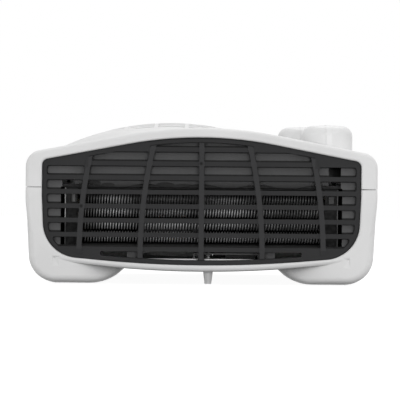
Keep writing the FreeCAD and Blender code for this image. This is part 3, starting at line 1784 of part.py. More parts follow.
def tip_switch():
    """A sprung plunger through the belly, which lifts a lever under a small switch."""
    x, y = size.plunger_x, size.plunger_y
    collar_top = size.collar_low + size.collar_wall
    taper = cone("plunger_taper", size.plunger_tip, size.plunger_radius, size.plunger_taper, (x, y, 0))
    barrel_rod = cylinder("plunger_barrel", size.plunger_radius, size.collar_low - size.plunger_taper,
                          (x, y, size.plunger_taper))
    collar = cylinder("plunger_collar", size.collar_radius, size.collar_wall, (x, y, size.collar_low))
    arm = box("plunger_arm", (x, y - size.arm_width / 2, size.collar_low),
              (size.arm_end, y + size.arm_width / 2, collar_top))
    stem = cylinder("plunger_stem", size.stem_radius, size.stem_top - collar_top, (x, y, collar_top))
    finished("tip_plunger", fuse("tip_plunger", taper, barrel_rod, collar, arm, stem))

    wire = size.spring_wire.value
    room = size.bracket_plate.value - collar_top.value - 2 * (wire + size.spring_gap.value)
    start = vector(x.value, y.value, collar_top.value + wire + size.spring_gap.value)
    pitch = 2 * room / SPRING_HALF_TURNS
    loops = helix(start, upward, east, rearward, size.spring_radius.value, pitch, SPRING_HALF_TURNS)
    finished("tip_spring", wound_tube("tip_spring", loops, wire, size.spring_radius.value))

    left, right, half = size.bracket_left, size.bracket_right, size.bracket_half
    plate_top = size.bracket_plate + size.bracket_plate_wall
    plate = box("bracket_sheet", (left, y - half, size.bracket_plate), (right, y + half, plate_top))
    legs = [
        box(f"bracket_leg_{word}", (low, y - half, size.pad_height),
            (low + size.bracket_wall, y + half, plate_top))
        for word, low in (("left", left), ("right", right - size.bracket_wall))
    ]
    guide = cylinder("bracket_guide", size.stem_radius + size.stem_gap, SKY, (x, y, size.pad_height))
    body_half = size.microswitch_half
    window = box(
        "bracket_window",
        (size.microswitch_left - size.window_gap, y - body_half - size.window_gap, size.bracket_plate),
        (size.microswitch_right + size.window_gap, y + body_half + size.window_gap, plate_top),
    )
    finished("switch_bracket", cut("switch_bracket", fuse("bracket_blank", plate, *legs), guide, window))

    case = box("microswitch_case", (size.microswitch_left, y - body_half, size.microswitch_low),
               (size.microswitch_right, y + body_half, size.microswitch_high))
    lugs = box("microswitch_lugs", (size.microswitch_left, y - half, plate_top),
               (size.microswitch_right, y + half, plate_top + size.bracket_wall))
    ears = []
    for word, side in (("front", -1), ("rear", 1)):
        low, high = sorted((y + side * size.ear_inner, y + side * size.ear_outer), key=lambda s: s.value)
        ears.append(
            box(f"microswitch_ear_{word}", (size.ear_left, low, size.ear_low),
                (size.microswitch_right, high, size.microswitch_low))
        )
    lever_top = size.microswitch_low - size.lever_gap
    pin_spot = (size.pin_x, y - size.ear_outer, lever_top - size.lever_wall / 2)
    bore = cylinder("lever_pin_bore", size.pin_radius + size.fit_gap, 2 * size.ear_outer, pin_spot, "y")
    finished("microswitch", cut("microswitch", fuse("microswitch_blank", case, lugs, *ears), bore))

    blade = box("lever_blade", (size.lever_tip, y - size.lever_half, lever_top - size.lever_wall),
                (size.lever_tail, y + size.lever_half, lever_top))
    pin = cylinder("lever_pin", size.pin_radius, 2 * size.ear_outer, pin_spot, "y")
    finished("switch_lever", fuse("switch_lever", blade, pin))


def cord_gland():
    """A flanged bush in the rear recess, held from inside by a nut; the cord itself is left out."""
    x, z = size.gland_x, size.gland_height
    seat = rear_face - size.gland_depth
    wall_face = seat - size.gland_wall
    flange = cylinder("gland_rim", size.gland_flange, size.gland_flange_wall, (x, seat, z), "y")
    nose = cylinder("gland_nose", size.gland_nose, size.gland_nose_length,
                    (x, seat + size.gland_flange_wall, z), "y")
    shank = cylinder("gland_shank", size.gland_radius, size.gland_wall + size.gland_tail,
                     (x, wall_face - size.gland_tail, z), "y")
    bore = cylinder("gland_bore", size.gland_bore, size.casing_depth, (x, 0, z), "y")
    finished("cord_gland", cut("cord_gland", fuse("gland_blank", flange, nose, shank), bore))
    nut = hexagon("gland_nut_blank", size.gland_nut_across, size.gland_nut_wall,
                  (x, wall_face - size.gland_nut_wall, z), "y")
    nut_bore = cylinder("gland_nut_bore", size.gland_radius + size.fit_gap, size.casing_depth, (x, 0, z), "y")
    finished("gland_nut", cut("gland_nut", nut, nut_bore))


BLOCK_WAYS = 3


def terminal_block():
    x, y, seat = size.block_x, size.block_y, size.block_seat
    top = seat + size.block_height
    left = x - size.block_length / 2
    block = box("block_blank", (left, y - size.block_width / 2, seat),
                (left + size.block_length, y + size.block_width / 2, top))
    ways = []
    screws = []
    for number in range(BLOCK_WAYS):
        spot = left + size.block_length * (number + 0.5) / BLOCK_WAYS
        ways.append(
            cylinder(f"block_way_{number}", size.block_hole, size.block_width,
                     (spot, y - size.block_width / 2, seat + 2 * size.block_hole), "y")
        )
        screw_low = top - size.block_screw_height
        ways.append(
            cylinder(f"block_well_{number}", size.block_screw, size.block_screw_height, (spot, y, screw_low))
        )
        screws.append(
            cylinder(f"block_screw_{number}", size.block_screw - size.fit_gap,
                     size.block_screw_height - size.end_gap, (spot, y, screw_low))
        )
    finished("terminal_block", cut("terminal_block", block, *ways))
    finished("terminal_screws", group("terminal_screws", *screws))


def casing_screws():
    screws = []
    for i, (x, y) in enumerate(screw_places):
        head = cylinder(f"screw_head_{i}", size.screw_head_radius, size.screw_head_height,
                        (x, y, size.screw_seat - size.screw_head_height))
        end = size.parting_height + size.screw_grip - size.screw_end_gap
        shank = cylinder(f"screw_shank_{i}", size.screw_radius, end - size.screw_seat,
                         (x, y, size.screw_seat))
        screws.append(fuse(f"casing_screw_{i}", head, shank))
    finished("casing_screws", group("casing_screws", *screws))


def write_subparts():
    doc.recompute()
    for thing in doc.Objects:
        if {"Invalid", "Error"} & set(thing.State):
            raise RuntimeError(f"{thing.Name} failed: {thing.State}")
    os.makedirs("parts", exist_ok=True)
    for label, thing in subparts.items():
        shape = thing.Shape
        if shape.isNull() or not shape.isValid() or not shape.Solids:
            raise RuntimeError(f"{label} has no valid solid")
        shape.exportStep(f"parts/{label}.step")
        print(label, len(shape.Solids), round(shape.Volume, 1))


controls()
air_duct()
duct_cover()
motor()
fan_impeller()
heating_coils()
element_frame()
tip_switch()
cord_gland()
terminal_block()
casing_screws()
write_subparts()
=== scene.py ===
import json
import math

import bpy
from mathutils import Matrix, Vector


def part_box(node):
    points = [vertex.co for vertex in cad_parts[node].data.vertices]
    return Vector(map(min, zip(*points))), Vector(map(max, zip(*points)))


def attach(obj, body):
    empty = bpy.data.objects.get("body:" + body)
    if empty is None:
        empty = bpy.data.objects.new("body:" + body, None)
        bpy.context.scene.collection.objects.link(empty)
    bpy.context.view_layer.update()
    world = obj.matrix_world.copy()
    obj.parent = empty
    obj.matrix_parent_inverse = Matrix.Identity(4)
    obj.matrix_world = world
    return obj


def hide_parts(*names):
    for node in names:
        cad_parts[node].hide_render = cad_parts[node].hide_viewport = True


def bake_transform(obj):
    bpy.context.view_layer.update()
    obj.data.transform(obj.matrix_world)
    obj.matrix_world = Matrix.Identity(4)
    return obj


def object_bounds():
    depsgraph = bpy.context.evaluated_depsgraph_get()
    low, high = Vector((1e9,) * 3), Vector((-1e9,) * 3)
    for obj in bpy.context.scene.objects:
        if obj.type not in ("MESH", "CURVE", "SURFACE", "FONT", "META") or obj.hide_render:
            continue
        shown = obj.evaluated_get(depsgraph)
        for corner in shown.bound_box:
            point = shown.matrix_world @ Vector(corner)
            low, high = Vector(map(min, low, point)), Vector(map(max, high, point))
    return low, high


# Looks of the flat fan heater, in metres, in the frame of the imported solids.
# +X is the viewer's right, -Y the hot-air side, +Z up.

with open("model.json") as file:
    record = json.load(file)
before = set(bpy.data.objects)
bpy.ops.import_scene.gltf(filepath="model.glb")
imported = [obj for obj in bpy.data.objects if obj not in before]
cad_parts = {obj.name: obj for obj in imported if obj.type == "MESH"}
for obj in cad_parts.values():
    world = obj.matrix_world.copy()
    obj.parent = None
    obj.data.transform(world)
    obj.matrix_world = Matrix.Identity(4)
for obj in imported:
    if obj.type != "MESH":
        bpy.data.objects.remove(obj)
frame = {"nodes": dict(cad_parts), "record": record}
cad_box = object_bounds()
nodes = frame["nodes"]


# Tools for the materials


# Values between which most of a noise texture lies
NOISE_LOW = 0.3
NOISE_HIGH = 0.7
# Colour sockets of the Mix node, by number because its other types have the same names
MIX_FIRST = 6
MIX_SECOND = 7
MIX_RESULT = 2
# Pointiness at which an outer edge starts to wear and at which it is worn
WORN_START = 0.52
WORN_FULL = 0.62
# Cosine between the true and the rounded normal, on a flat and on an edge
FLAT_COSINE = 0.998
EDGE_COSINE = 0.93
EDGE_SAMPLES = 8
OPENNESS_SAMPLES = 12
# Largest share of Y in the normal of a wall that faces across or up
SIDE_NORMAL = 0.6
# Rows of slots in the outlet grille: middle of the lowest row, and the step from row to row
SLOT_MIDDLE = 0.02145
SLOT_PITCH = 0.01055
# Half width over which the painted shade in the seam and on the element's side plates grows from the left to
# the right
RIGHTWARD = 0.05


def shade(colour, share):
    return tuple(channel * share for channel in colour)


class Look:
    """A principled material with short helpers for its procedural inputs."""

    def __init__(self, name):
        self.material = bpy.data.materials.new(name)
        self.material.use_nodes = True
        self.tree = self.material.node_tree
        self.shader = self.tree.nodes["Principled BSDF"]
        self.place = self.add("ShaderNodeTexCoord").outputs["Object"]

    def add(self, kind, **settings):
        node = self.tree.nodes.new(kind)
        for key, value in settings.items():
            setattr(node, key, value)
        return node

    def link(self, source, target):
        self.tree.links.new(source, target)

    def feed(self, socket, value):
        """Gives a socket a colour, a number or a link from another socket."""
        if isinstance(value, tuple):
            socket.default_value = (*value, 1.0)
        elif isinstance(value, float):
            socket.default_value = value
        else:
            self.link(value, socket)

    def set(self, **inputs):
        """Sets inputs of the shader, with _ for the spaces in their names."""
        for key, value in inputs.items():
            self.shader.inputs[key.replace("_", " ")].default_value = value

    def along(self, axis):
        split = self.add("ShaderNodeSeparateXYZ")
        self.link(self.place, split.inputs["Vector"])
        return split.outputs[axis]

    def aside(self):
        """Distance from the middle plane of the heater."""
        return self.math("ABSOLUTE", self.along("X"))

    def stretched(self, x, y, z):
        mapping = self.add("ShaderNodeMapping")
        mapping.inputs["Scale"].default_value = (x, y, z)
        self.link(self.place, mapping.inputs["Vector"])
        return mapping.outputs["Vector"]

    def noise(self, scale, detail=3.0, roughness=0.55, where=None):
        texture = self.add("ShaderNodeTexNoise")
        texture.inputs["Scale"].default_value = scale
        texture.inputs["Detail"].default_value = detail
        texture.inputs["Roughness"].default_value = roughness
        self.link(where or self.place, texture.inputs["Vector"])
        return texture.outputs["Fac"]

    def streaks(self, stretch, detail, roughness):
        """Noise with its own scale along X, Y and Z."""
        return self.noise(1.0, detail, roughness, self.stretched(*stretch))

    def cells(self, scale):
        texture = self.add("ShaderNodeTexVoronoi")
        texture.inputs["Scale"].default_value = scale
        self.link(self.place, texture.inputs["Vector"])
        return texture.outputs["Distance"]

    def shades(self, value, colour, shares):
        """Shades of a colour, each as a share of it, by the values at which they are reached."""
        ramp = self.add("ShaderNodeValToRGB")
        elements = ramp.color_ramp.elements
        while len(elements) < len(shares):
            elements.new(0.5)
        for element, (position, share) in zip(elements, shares.items()):
            element.position = position
            element.color = (*shade(colour, share), 1.0)
        self.link(value, ramp.inputs["Fac"])
        return ramp.outputs["Color"]

    def range(self, value, low, high, to_low, to_high):
        """Carries the span from low to high over to the span from to_low to to_high."""
        remap = self.add("ShaderNodeMapRange")
        names = ("From Min", "From Max", "To Min", "To Max")
        for key, number in zip(names, (low, high, to_low, to_high)):
            remap.inputs[key].default_value = number
        self.link(value, remap.inputs["Value"])
        return remap.outputs["Result"]

    def math(self, operation, *values):
        node = self.add("ShaderNodeMath", operation=operation)
        for socket, value in zip(node.inputs, values):
            self.feed(socket, value)
        return node.outputs["Value"]

    def within(self, value, middle, half):
        """1 where a value is less than half away from the middle, 0 elsewhere."""
        away = self.math("ABSOLUTE", self.math("SUBTRACT", value, middle))
        return self.math("LESS_THAN", away, half)

    def mix(self, share, first, second):
        node = self.add("ShaderNodeMix", data_type="RGBA")
        self.feed(node.inputs["Factor"], share)
        self.feed(node.inputs[MIX_FIRST], first)
        self.feed(node.inputs[MIX_SECOND], second)
        return node.outputs[MIX_RESULT]

    def worn_edges(self):
        """1 on sharp outer edges, 0 on flats."""
        geometry = self.add("ShaderNodeNewGeometry")
        return self.range(geometry.outputs["Pointiness"], WORN_START, WORN_FULL, 0.0, 1.0)

    def near_edges(self, radius):
        """1 close to the edges of a form, 0 on its flats."""
        bevel = self.add("ShaderNodeBevel", samples=EDGE_SAMPLES)
        bevel.inputs["Radius"].default_value = radius
        geometry = self.add("ShaderNodeNewGeometry")
        product = self.add("ShaderNodeVectorMath", operation="DOT_PRODUCT")
        self.link(bevel.outputs["Normal"], product.inputs[0])
        self.link(geometry.outputs["Normal"], product.inputs[1])
        return self.range(product.outputs["Value"], FLAT_COSINE, EDGE_COSINE, 0.0, 1.0)

    def sides(self):
        """1 on walls that face across or up, 0 on those that face the front or the rear."""
        geometry = self.add("ShaderNodeNewGeometry")
        split = self.add("ShaderNodeSeparateXYZ")
        self.link(geometry.outputs["True Normal"], split.inputs["Vector"])
        return self.math("LESS_THAN", self.math("ABSOLUTE", split.outputs["Y"]), SIDE_NORMAL)

    def from_slot(self, raised=0.0):
        """Height above or below the middle of the nearest row of slots, or of a line raised above it."""
        height = self.math("SUBTRACT", self.along("Z"), SLOT_MIDDLE + raised)
        row = self.math("DIVIDE", height, SLOT_PITCH)
        return self.math("MULTIPLY", self.math("PINGPONG", row, 0.5), SLOT_PITCH)

    def openness(self, distance):
        """1 where nothing stands close by, lower in corners and behind other pieces."""
        occlusion = self.add("ShaderNodeAmbientOcclusion", samples=OPENNESS_SAMPLES)
        occlusion.inputs["Distance"].default_value = distance
        return occlusion.outputs["AO"]

    def spots(self, places):
        """1 in the middle of soft ovals, each with its X, Z, half width and half height, 0 elsewhere."""
        total = 0.0
        for x, z, wide, high in places:
            across = self.math("DIVIDE", self.math("SUBTRACT", self.along("X"), x), wide)
            up = self.math("DIVIDE", self.math("SUBTRACT", self.along("Z"), z), high)
            squares = [self.math("MULTIPLY", part, part) for part in (across, up)]
            spot = self.range(self.math("ADD", *squares), 0.0, 1.0, 1.0, 0.0)
            total = self.math("MAXIMUM", total, spot)
        return total

    def colour(self, socket):
        self.link(socket, self.shader.inputs["Base Color"])

    def rough(self, value, low, high):
        self.link(self.range(value, NOISE_LOW, NOISE_HIGH, low, high), self.shader.inputs["Roughness"])

    def bump(self, height, distance, strength):
        bump = self.add("ShaderNodeBump")
        bump.inputs["Distance"].default_value = distance
        bump.inputs["Strength"].default_value = strength
        self.link(height, bump.inputs["Height"])
        self.link(bump.outputs["Normal"], self.shader.inputs["Normal"])


# Plastic


PLASTIC_IOR = 1.5
MOTTLE = 0.04
RUBBED_SHARE = 0.25
RUBBED_SHADE = 1.18
# Painted shade deep inside the casing, and the heights between which it grows above the feet
SHADE_REACH_IN_CORNERS = 0.05
SHADE_SHARE_IN_CORNERS = 0.9
PAINTED_SHADE_IN_CORNERS = 0.1
FEET_LOW = 0.004
FEET_HIGH = 0.013
FEET_SHARE = 0.3
# Painted shade in the casing's seam, and the half widths of the mouth and of the edge between which it fades
SEAM_HEIGHT = 0.072
SEAM_HALF = 0.0004
SEAM_AT_MOUTH = 0.1185
SEAM_AT_EDGE = 0.126
SEAM_PAINTED_SHADE = 0.08
# Painted shade on the plunger above a height, where it stands inside the casing
PLUNGER_SHADE_HEIGHT = 0.0185
PLUNGER_SHADE_FADE = 0.001
PLUNGER_PAINTED_SHADE = 0.06


def painted_corner_shade(look, shade_openness):
    """Painted shade in deep corners, whose openness lies in the given span, and less of it by the feet."""
    deep_inside = look.range(look.openness(SHADE_REACH_IN_CORNERS), *shade_openness, SHADE_SHARE_IN_CORNERS, 0.0)
    above_feet = look.range(look.along("Z"), FEET_LOW, FEET_HIGH, FEET_SHARE, 1.0)
    return look.math("MULTIPLY", deep_inside, above_feet)


def painted_seam_shade(look, height):
    """Painted shade in the seam, most of it by the mouth and at the right."""
    line = look.within(look.along("Z"), height, SEAM_HALF)
    by_mouth = look.range(look.aside(), SEAM_AT_MOUTH, SEAM_AT_EDGE, to_low=0.9, to_high=0.2)
    rightward = look.range(look.along("X"), -RIGHTWARD, RIGHTWARD, to_low=0.4, to_high=1.0)
    return look.math("MULTIPLY", line, look.math("MULTIPLY", by_mouth, rightward))


def moulded(name, colour, roughness, gloss=0.5, shade_openness=None, seam=None, shaded_above=None):
    """Injection-moulded plastic: a fine spark-eroded grain, faint flow clouds and paler edges."""
    look = Look(name)
    clouds = look.noise(scale=14.0, detail=2.0)
    base = look.shades(clouds, colour, {NOISE_LOW: 1 - MOTTLE, NOISE_HIGH: 1 + MOTTLE})
    rubbed = look.math("MULTIPLY", look.worn_edges(), RUBBED_SHARE)
    outer = look.mix(rubbed, base, shade(colour, RUBBED_SHADE))
    # Painted shade where asked: in deep corners, in the seam, and on the plunger above a height
    if shade_openness:
        outer = look.mix(painted_corner_shade(look, shade_openness), outer, shade(colour, PAINTED_SHADE_IN_CORNERS))
    if seam:
        outer = look.mix(painted_seam_shade(look, seam), outer, shade(colour, SEAM_PAINTED_SHADE))
    if shaded_above:
        above = look.range(look.along("Z"), shaded_above, shaded_above + PLUNGER_SHADE_FADE, 0.0, 1.0)
        outer = look.mix(above, outer, shade(colour, PLUNGER_PAINTED_SHADE))
    look.colour(outer)
    fine = look.noise(scale=1800.0, detail=3.0, roughness=0.6)
    look.rough(fine, low=roughness - 0.05, high=roughness + 0.07)
    look.bump(fine, distance=0.00003, strength=0.35)
    look.set(IOR=PLASTIC_IOR, Specular_IOR_Level=gloss)
    return look.material


# Outlet grille


# Height above or below a row's middle up to which the rims of its slots get painted shade
SLOT_REACH = 0.0036
# Where the border has no slots: above or below a height, beyond a half width
SLOTLESS = (
    ("GREATER_THAN", 0.0868, 0.0838),
    ("GREATER_THAN", 0.0975, 0.0425),
    ("LESS_THAN", 0.0267, 0.0745),
)
# Painted shade on the rims and walls of the slots: reach of the rounded normal and the shade
RIM_RADIUS = 0.0009
RIM_PAINTED_SHADE = 0.06
# How far the uprights stand in front of the slats
RIB_PROUD = 0.0005
RIB_SHADE = 1.42
# Dark marks of the moulding's gates: X, Z, half width and half height
GATE_MARKS = ((-0.0888, 0.0583, 0.0017, 0.0017), (-0.0004, 0.0903, 0.0017, 0.0017))
GATE_SHADE = 0.1


def among_slots(look):
    """1 where the grille has slots, 0 on the parts of its border that have none."""
    slotted = 1.0
    for side, height, half in SLOTLESS:
        level = look.math(side, look.along("Z"), height)
        beyond = look.math("MULTIPLY", level, look.math("GREATER_THAN", look.aside(), half))
        slotted = look.math("SUBTRACT", slotted, beyond)
    return look.math("MAXIMUM", slotted, 0.0)


def slatted(name, colour):
    """Charcoal moulding with a fine grain, painted shade on the rims round its slots and paler uprights."""
    look = Look(name)
    clouds = look.noise(scale=30.0, detail=3.0)
    base = look.shades(clouds, colour, {NOISE_LOW: 0.92, NOISE_HIGH: 1.1})
    slotted = among_slots(look)
    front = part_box("outlet_grille")[0].y
    proud = look.math("LESS_THAN", look.along("Y"), front + RIB_PROUD / 2)
    ribbed = look.mix(look.math("MULTIPLY", proud, slotted), base, shade(colour, RIB_SHADE))
    beside = look.math("MULTIPLY", look.math("LESS_THAN", look.from_slot(), SLOT_REACH), slotted)
    edges = look.math("MAXIMUM", look.near_edges(RIM_RADIUS), look.sides())
    rim_shaded = look.mix(look.math("MULTIPLY", edges, beside), ribbed, shade(colour, RIM_PAINTED_SHADE))
    look.colour(look.mix(look.spots(GATE_MARKS), rim_shaded, shade(colour, GATE_SHADE)))
    fine = look.noise(scale=1400.0, detail=3.0, roughness=0.6)
    look.rough(fine, low=0.55, high=0.68)
    look.bump(fine, distance=0.00006, strength=0.35)
    look.set(IOR=PLASTIC_IOR, Specular_IOR_Level=0.15)
    return look.material


# Metal


ROLLED = (60.0, 900.0, 900.0)
TARNISH = 0.25
STREAK_SHARE = 0.2
STREAK_SHADE = 0.6
# Heights between which the painted shade low on a plate fades
PLATE_SHADE_LOW = 0.044
PLATE_SHADE_HIGH = 0.05
PLATE_PAINTED_SHADE = 0.03


def sheet_metal(name, colour, roughness, painted_shade=False):
    """Rolled or plated metal with a grain along X and dull patches, with painted shade at +X and low down if
    asked.
    """
    look = Look(name)
    drawn = look.streaks(ROLLED, detail=4.0, roughness=0.6)
    patches = look.noise(scale=55.0, detail=4.0, roughness=0.6)
    base = look.shades(patches, colour, {0.32: 1 - TARNISH, 0.68: 1.0})
    # Painted shade on the element's side plates, towards +X and low down
    if painted_shade:
        right = look.range(look.along("X"), -RIGHTWARD, RIGHTWARD, to_low=0.0, to_high=0.75)
        low = look.range(look.along("Z"), PLATE_SHADE_LOW, PLATE_SHADE_HIGH, to_low=0.9, to_high=0.0)
        base = look.mix(look.math("MAXIMUM", right, low), base, shade(colour, PLATE_PAINTED_SHADE))
    streaked = look.range(drawn, NOISE_LOW, NOISE_HIGH, 0.0, STREAK_SHARE)
    look.colour(look.mix(streaked, base, shade(colour, STREAK_SHADE)))
    look.rough(drawn, low=roughness - 0.06, high=roughness + 0.1)
    look.bump(drawn, distance=0.00002, strength=0.3)
    look.set(Metallic=1.0)
    return look.material


def laminations(name, colour):
    """A stack of thin sheets seen on edge."""
    look = Look(name)
    layers = look.streaks((40.0, 40.0, 3200.0), detail=2.0, roughness=0.5)
    look.colour(look.shades(layers, colour, {0.35: 0.55, 0.65: 1.2}))
    look.rough(layers, low=0.35, high=0.55)
    look.bump(layers, distance=0.00006, strength=0.5)
    look.set(Metallic=1.0)
    return look.material


def varnished_wire(name, colour):
    """Fine enamelled wire lying in rows under varnish."""
    look = Look(name)
    rows = look.streaks((2600.0, 60.0, 60.0), detail=1.0, roughness=0.4)
    look.colour(look.shades(rows, colour, {0.35: 0.5, 0.65: 1.4}))
    look.rough(rows, low=0.2, high=0.35)
    look.bump(rows, distance=0.0001, strength=0.6)
    return look.material


# Air duct


# Half widths between which the plate's darker middle fades
MIDDLE_HALF = 0.085
MIDDLE_END = 0.1
MIDDLE_SHARE = 0.42
MIDDLE_SHADE = 0.35
# Depths behind the plate's front between which the sheet turns to the painted shade of the inside
SKIN_START = 0.0004
SKIN_END = 0.0016
# Band behind each row of slots kept free of painted shade: how far above the row's middle, half height and
# fade
BAND_RAISED = 0.0003
BAND_HALF = 0.00245
BAND_FADE = 0.0003
# Openness behind the grille, and its values where the sheet gets full painted shade and where it gets none
GRILLE_REACH = 0.004
OPENNESS_SHADED = 0.42
OPENNESS_UNSHADED = 0.53
# Painted shade along the edges of the duct's floor and, above a level, of its front plate
FLOOR_EDGE = 0.0287
FLOOR_EDGE_HALF = 0.0025
PLATE_LEVEL = 0.06
PLATE_EDGE = 0.0728
PLATE_EDGE_END = 0.0775
PLATE_EDGE_SHARE = 0.95
# Forms of painted shade behind the fourth row of slots: X, Z, half width and half height
SHADE_FORMS = (
    (-0.0797, 0.0748, 0.0062, 0.0034),
    (-0.0695, 0.0738, 0.0062, 0.0022),
    (-0.0270, 0.0740, 0.0088, 0.0027),
    (-0.0135, 0.0736, 0.0100, 0.0018),
)
SHADE_FORM_FADE = 0.4
DUCT_PAINTED_SHADE = 0.04


def painted_duct_shade(look):
    """Painted shade along the edges of the duct's floor and front plate and in a few forms on the plate."""
    height = look.along("Z")
    floor_edge = look.within(height, FLOOR_EDGE, FLOOR_EDGE_HALF)
    low = look.range(height, PLATE_EDGE, PLATE_EDGE_END, PLATE_EDGE_SHARE, 0.0)
    plate_edge = look.math("MULTIPLY", low, look.math("GREATER_THAN", height, PLATE_LEVEL))
    forms = look.range(look.spots(SHADE_FORMS), 0.0, SHADE_FORM_FADE, 0.0, 1.0)
    painted_shade = look.math("MAXIMUM", forms, look.math("MAXIMUM", floor_edge, plate_edge))
    return look.math("MULTIPLY", painted_shade, look.math("LESS_THAN", look.aside(), MIDDLE_END))


def duct_look(name, colour):
    """Dull painted sheet, dark all over in painted shade but for bands behind the slots."""
    look = Look(name)
    patches = look.noise(scale=38.0, detail=4.0, roughness=0.6)
    base = look.shades(patches, colour, {NOISE_LOW: 0.88, NOISE_HIGH: 1.08})
    middle = look.range(look.aside(), MIDDLE_HALF, MIDDLE_END, MIDDLE_SHARE, 0.0)
    plate = look.mix(middle, base, shade(colour, MIDDLE_SHADE))
    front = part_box("air_duct")[0].y
    inside = look.range(look.along("Y"), front + SKIN_START, front + SKIN_END, 0.0, 1.0)
    outside_shade_marks = look.math("SUBTRACT", 1.0, look.math("MAXIMUM", inside, painted_duct_shade(look)))
    band = look.range(look.from_slot(BAND_RAISED), BAND_HALF, BAND_HALF + BAND_FADE, 1.0, 0.0)
    uncovered = look.range(look.openness(GRILLE_REACH), OPENNESS_SHADED, OPENNESS_UNSHADED, 0.0, 1.0)
    unshaded = look.math("MULTIPLY", look.math("MULTIPLY", uncovered, band), outside_shade_marks)
    # Painted shade everywhere but in the open bands behind the slots
    look.colour(look.mix(unshaded, shade(colour, DUCT_PAINTED_SHADE), plate))
    fine = look.noise(scale=700.0, detail=3.0)
    look.rough(fine, low=0.5, high=0.65)
    look.bump(fine, distance=0.00003, strength=0.3)
    look.set(Specular_IOR_Level=0.2)
    return look.material


# Heating element


# Heights between which the painted shade low on the mica fades
MICA_SHADE_LOW = 0.046
MICA_SHADE_HIGH = 0.064
MICA_SHADE_SHARE = 0.85
MICA_PAINTED_SHADE = 0.1
FLAKE_EDGE = 0.6
FLAKE_SHARE = 0.3
FLAKE_SHADE = 1.1


def mica(name, colour):
    """Pressed mica: layered flakes with silvery and dark scales, in painted shade low down."""
    look = Look(name)
    flakes = look.cells(scale=420.0)
    veins = look.noise(scale=90.0, detail=5.0, roughness=0.65)
    base = look.shades(veins, colour, {NOISE_LOW: 0.35, NOISE_HIGH: 0.7})
    silvery = look.range(flakes, 0.0, FLAKE_EDGE, FLAKE_SHARE, 0.0)
    flaked = look.mix(silvery, base, shade(colour, FLAKE_SHADE))
    darker_share = look.range(look.along("Z"), MICA_SHADE_LOW, MICA_SHADE_HIGH, MICA_SHADE_SHARE, 0.0)
    look.colour(look.mix(darker_share, flaked, shade(colour, MICA_PAINTED_SHADE)))
    look.rough(flakes, low=0.6, high=0.75)
    look.bump(flakes, distance=0.00003, strength=0.25)
    look.set(Specular_IOR_Level=0.15)
    return look.material


# Long patches of burnt wire, in noise along X and Z
BURNT = (26.0, 0.0, 90.0)
# Ovals of turns kept bright, painted light: X, Z, half width and half height
LIT_TURNS = (
    (-0.0645, 0.050, 0.017, 0.028),
    (0.021, 0.052, 0.026, 0.014),
    (-0.02, 0.043, 0.05, 0.008),
    (-0.01, 0.0345, 0.1, 0.006),
)
# Heights between which the upper turns go dark in painted shade
UPPER_TURNS = 0.056
UPPER_TURNS_END = 0.061
# Depths behind the coils' front between which the turns go dark in painted shade
TURN_START = 0.0014
TURN_END = 0.0034
# Shade of the burnt patches and of the wire's painted shade
WIRE_BURNT_AND_SHADE = 0.3


def heating_wire(name, colour):
    """Oxidised resistance wire with burnt patches, painted shade on its upper turns and on the back halves
    of its turns, and painted light on a few bright ovals.
    """
    look = Look(name)
    scale = look.noise(scale=900.0, detail=4.0, roughness=0.6)
    base = look.shades(scale, colour, {0.35: 2.6, 0.62: 3.6, 0.8: 5.0})
    heat = look.streaks(BURNT, detail=2.0, roughness=0.5)
    burnt = look.range(heat, low=0.4, high=0.66, to_low=0.9, to_high=0.35)
    upper = look.range(look.along("Z"), UPPER_TURNS, UPPER_TURNS_END, to_low=0.0, to_high=0.9)
    unlit = look.math("SUBTRACT", 1.0, look.spots(LIT_TURNS))
    darker_share = look.math("MULTIPLY", look.math("MAXIMUM", burnt, upper), unlit)
    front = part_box("heating_coil_1")[0].y
    behind = look.range(look.along("Y"), front + TURN_START, front + TURN_END, to_low=0.0, to_high=0.95)
    look.colour(look.mix(look.math("MAXIMUM", darker_share, behind), base, shade(colour, WIRE_BURNT_AND_SHADE)))
    look.rough(scale, low=0.3, high=0.5)
    look.bump(scale, distance=0.00002, strength=0.3)
    look.set(Metallic=0.35)
    return look.material


# Fired clay


SPECK_EDGE = 0.5
SPECK_SHARE = 0.3
SPECK_SHADE = 0.7


def fired_clay(name, colour):
    """Unglazed steatite with small dark specks."""
    look = Look(name)
    specks = look.cells(scale=900.0)
    speckled = look.range(specks, 0.0, SPECK_EDGE, SPECK_SHARE, 0.0)
    look.colour(look.mix(speckled, colour, shade(colour, SPECK_SHADE)))
    look.rough(look.noise(scale=400.0), low=0.55, high=0.75)
    look.bump(specks, distance=0.00003, strength=0.3)
    return look.material


# Looks of the slots, and of the pieces that have their own


SLOT_COLOURS = {item["slot"]: tuple(item["base_color"][:3]) for item in frame["record"]["materials"]}
# Openness at which the painted shade in the casing's corners is darkest and at which it ends
CASING_SHADE_OPENNESS = (0.09, 0.28)
MICA_GREY = (0.041, 0.041, 0.041)
WIRE_GREY = (0.155, 0.155, 0.157)
SWITCH_BLACK = (0.012, 0.012, 0.012)
DARK_STEEL = (0.035, 0.035, 0.036)
CUTOUT_GREY = (0.07, 0.07, 0.07)
BLADE_GREY = (0.10, 0.10, 0.10)
PLATE_GREY = (0.30, 0.30, 0.30)


def slot_colour(slot, share=1.0):
    return shade(SLOT_COLOURS[slot], share)


def slot_looks(make, **roughness):
    """One look for each slot named, in the slot's own colour."""
    return {slot: make(f"{slot}_look", slot_colour(slot), value) for slot, value in roughness.items()}


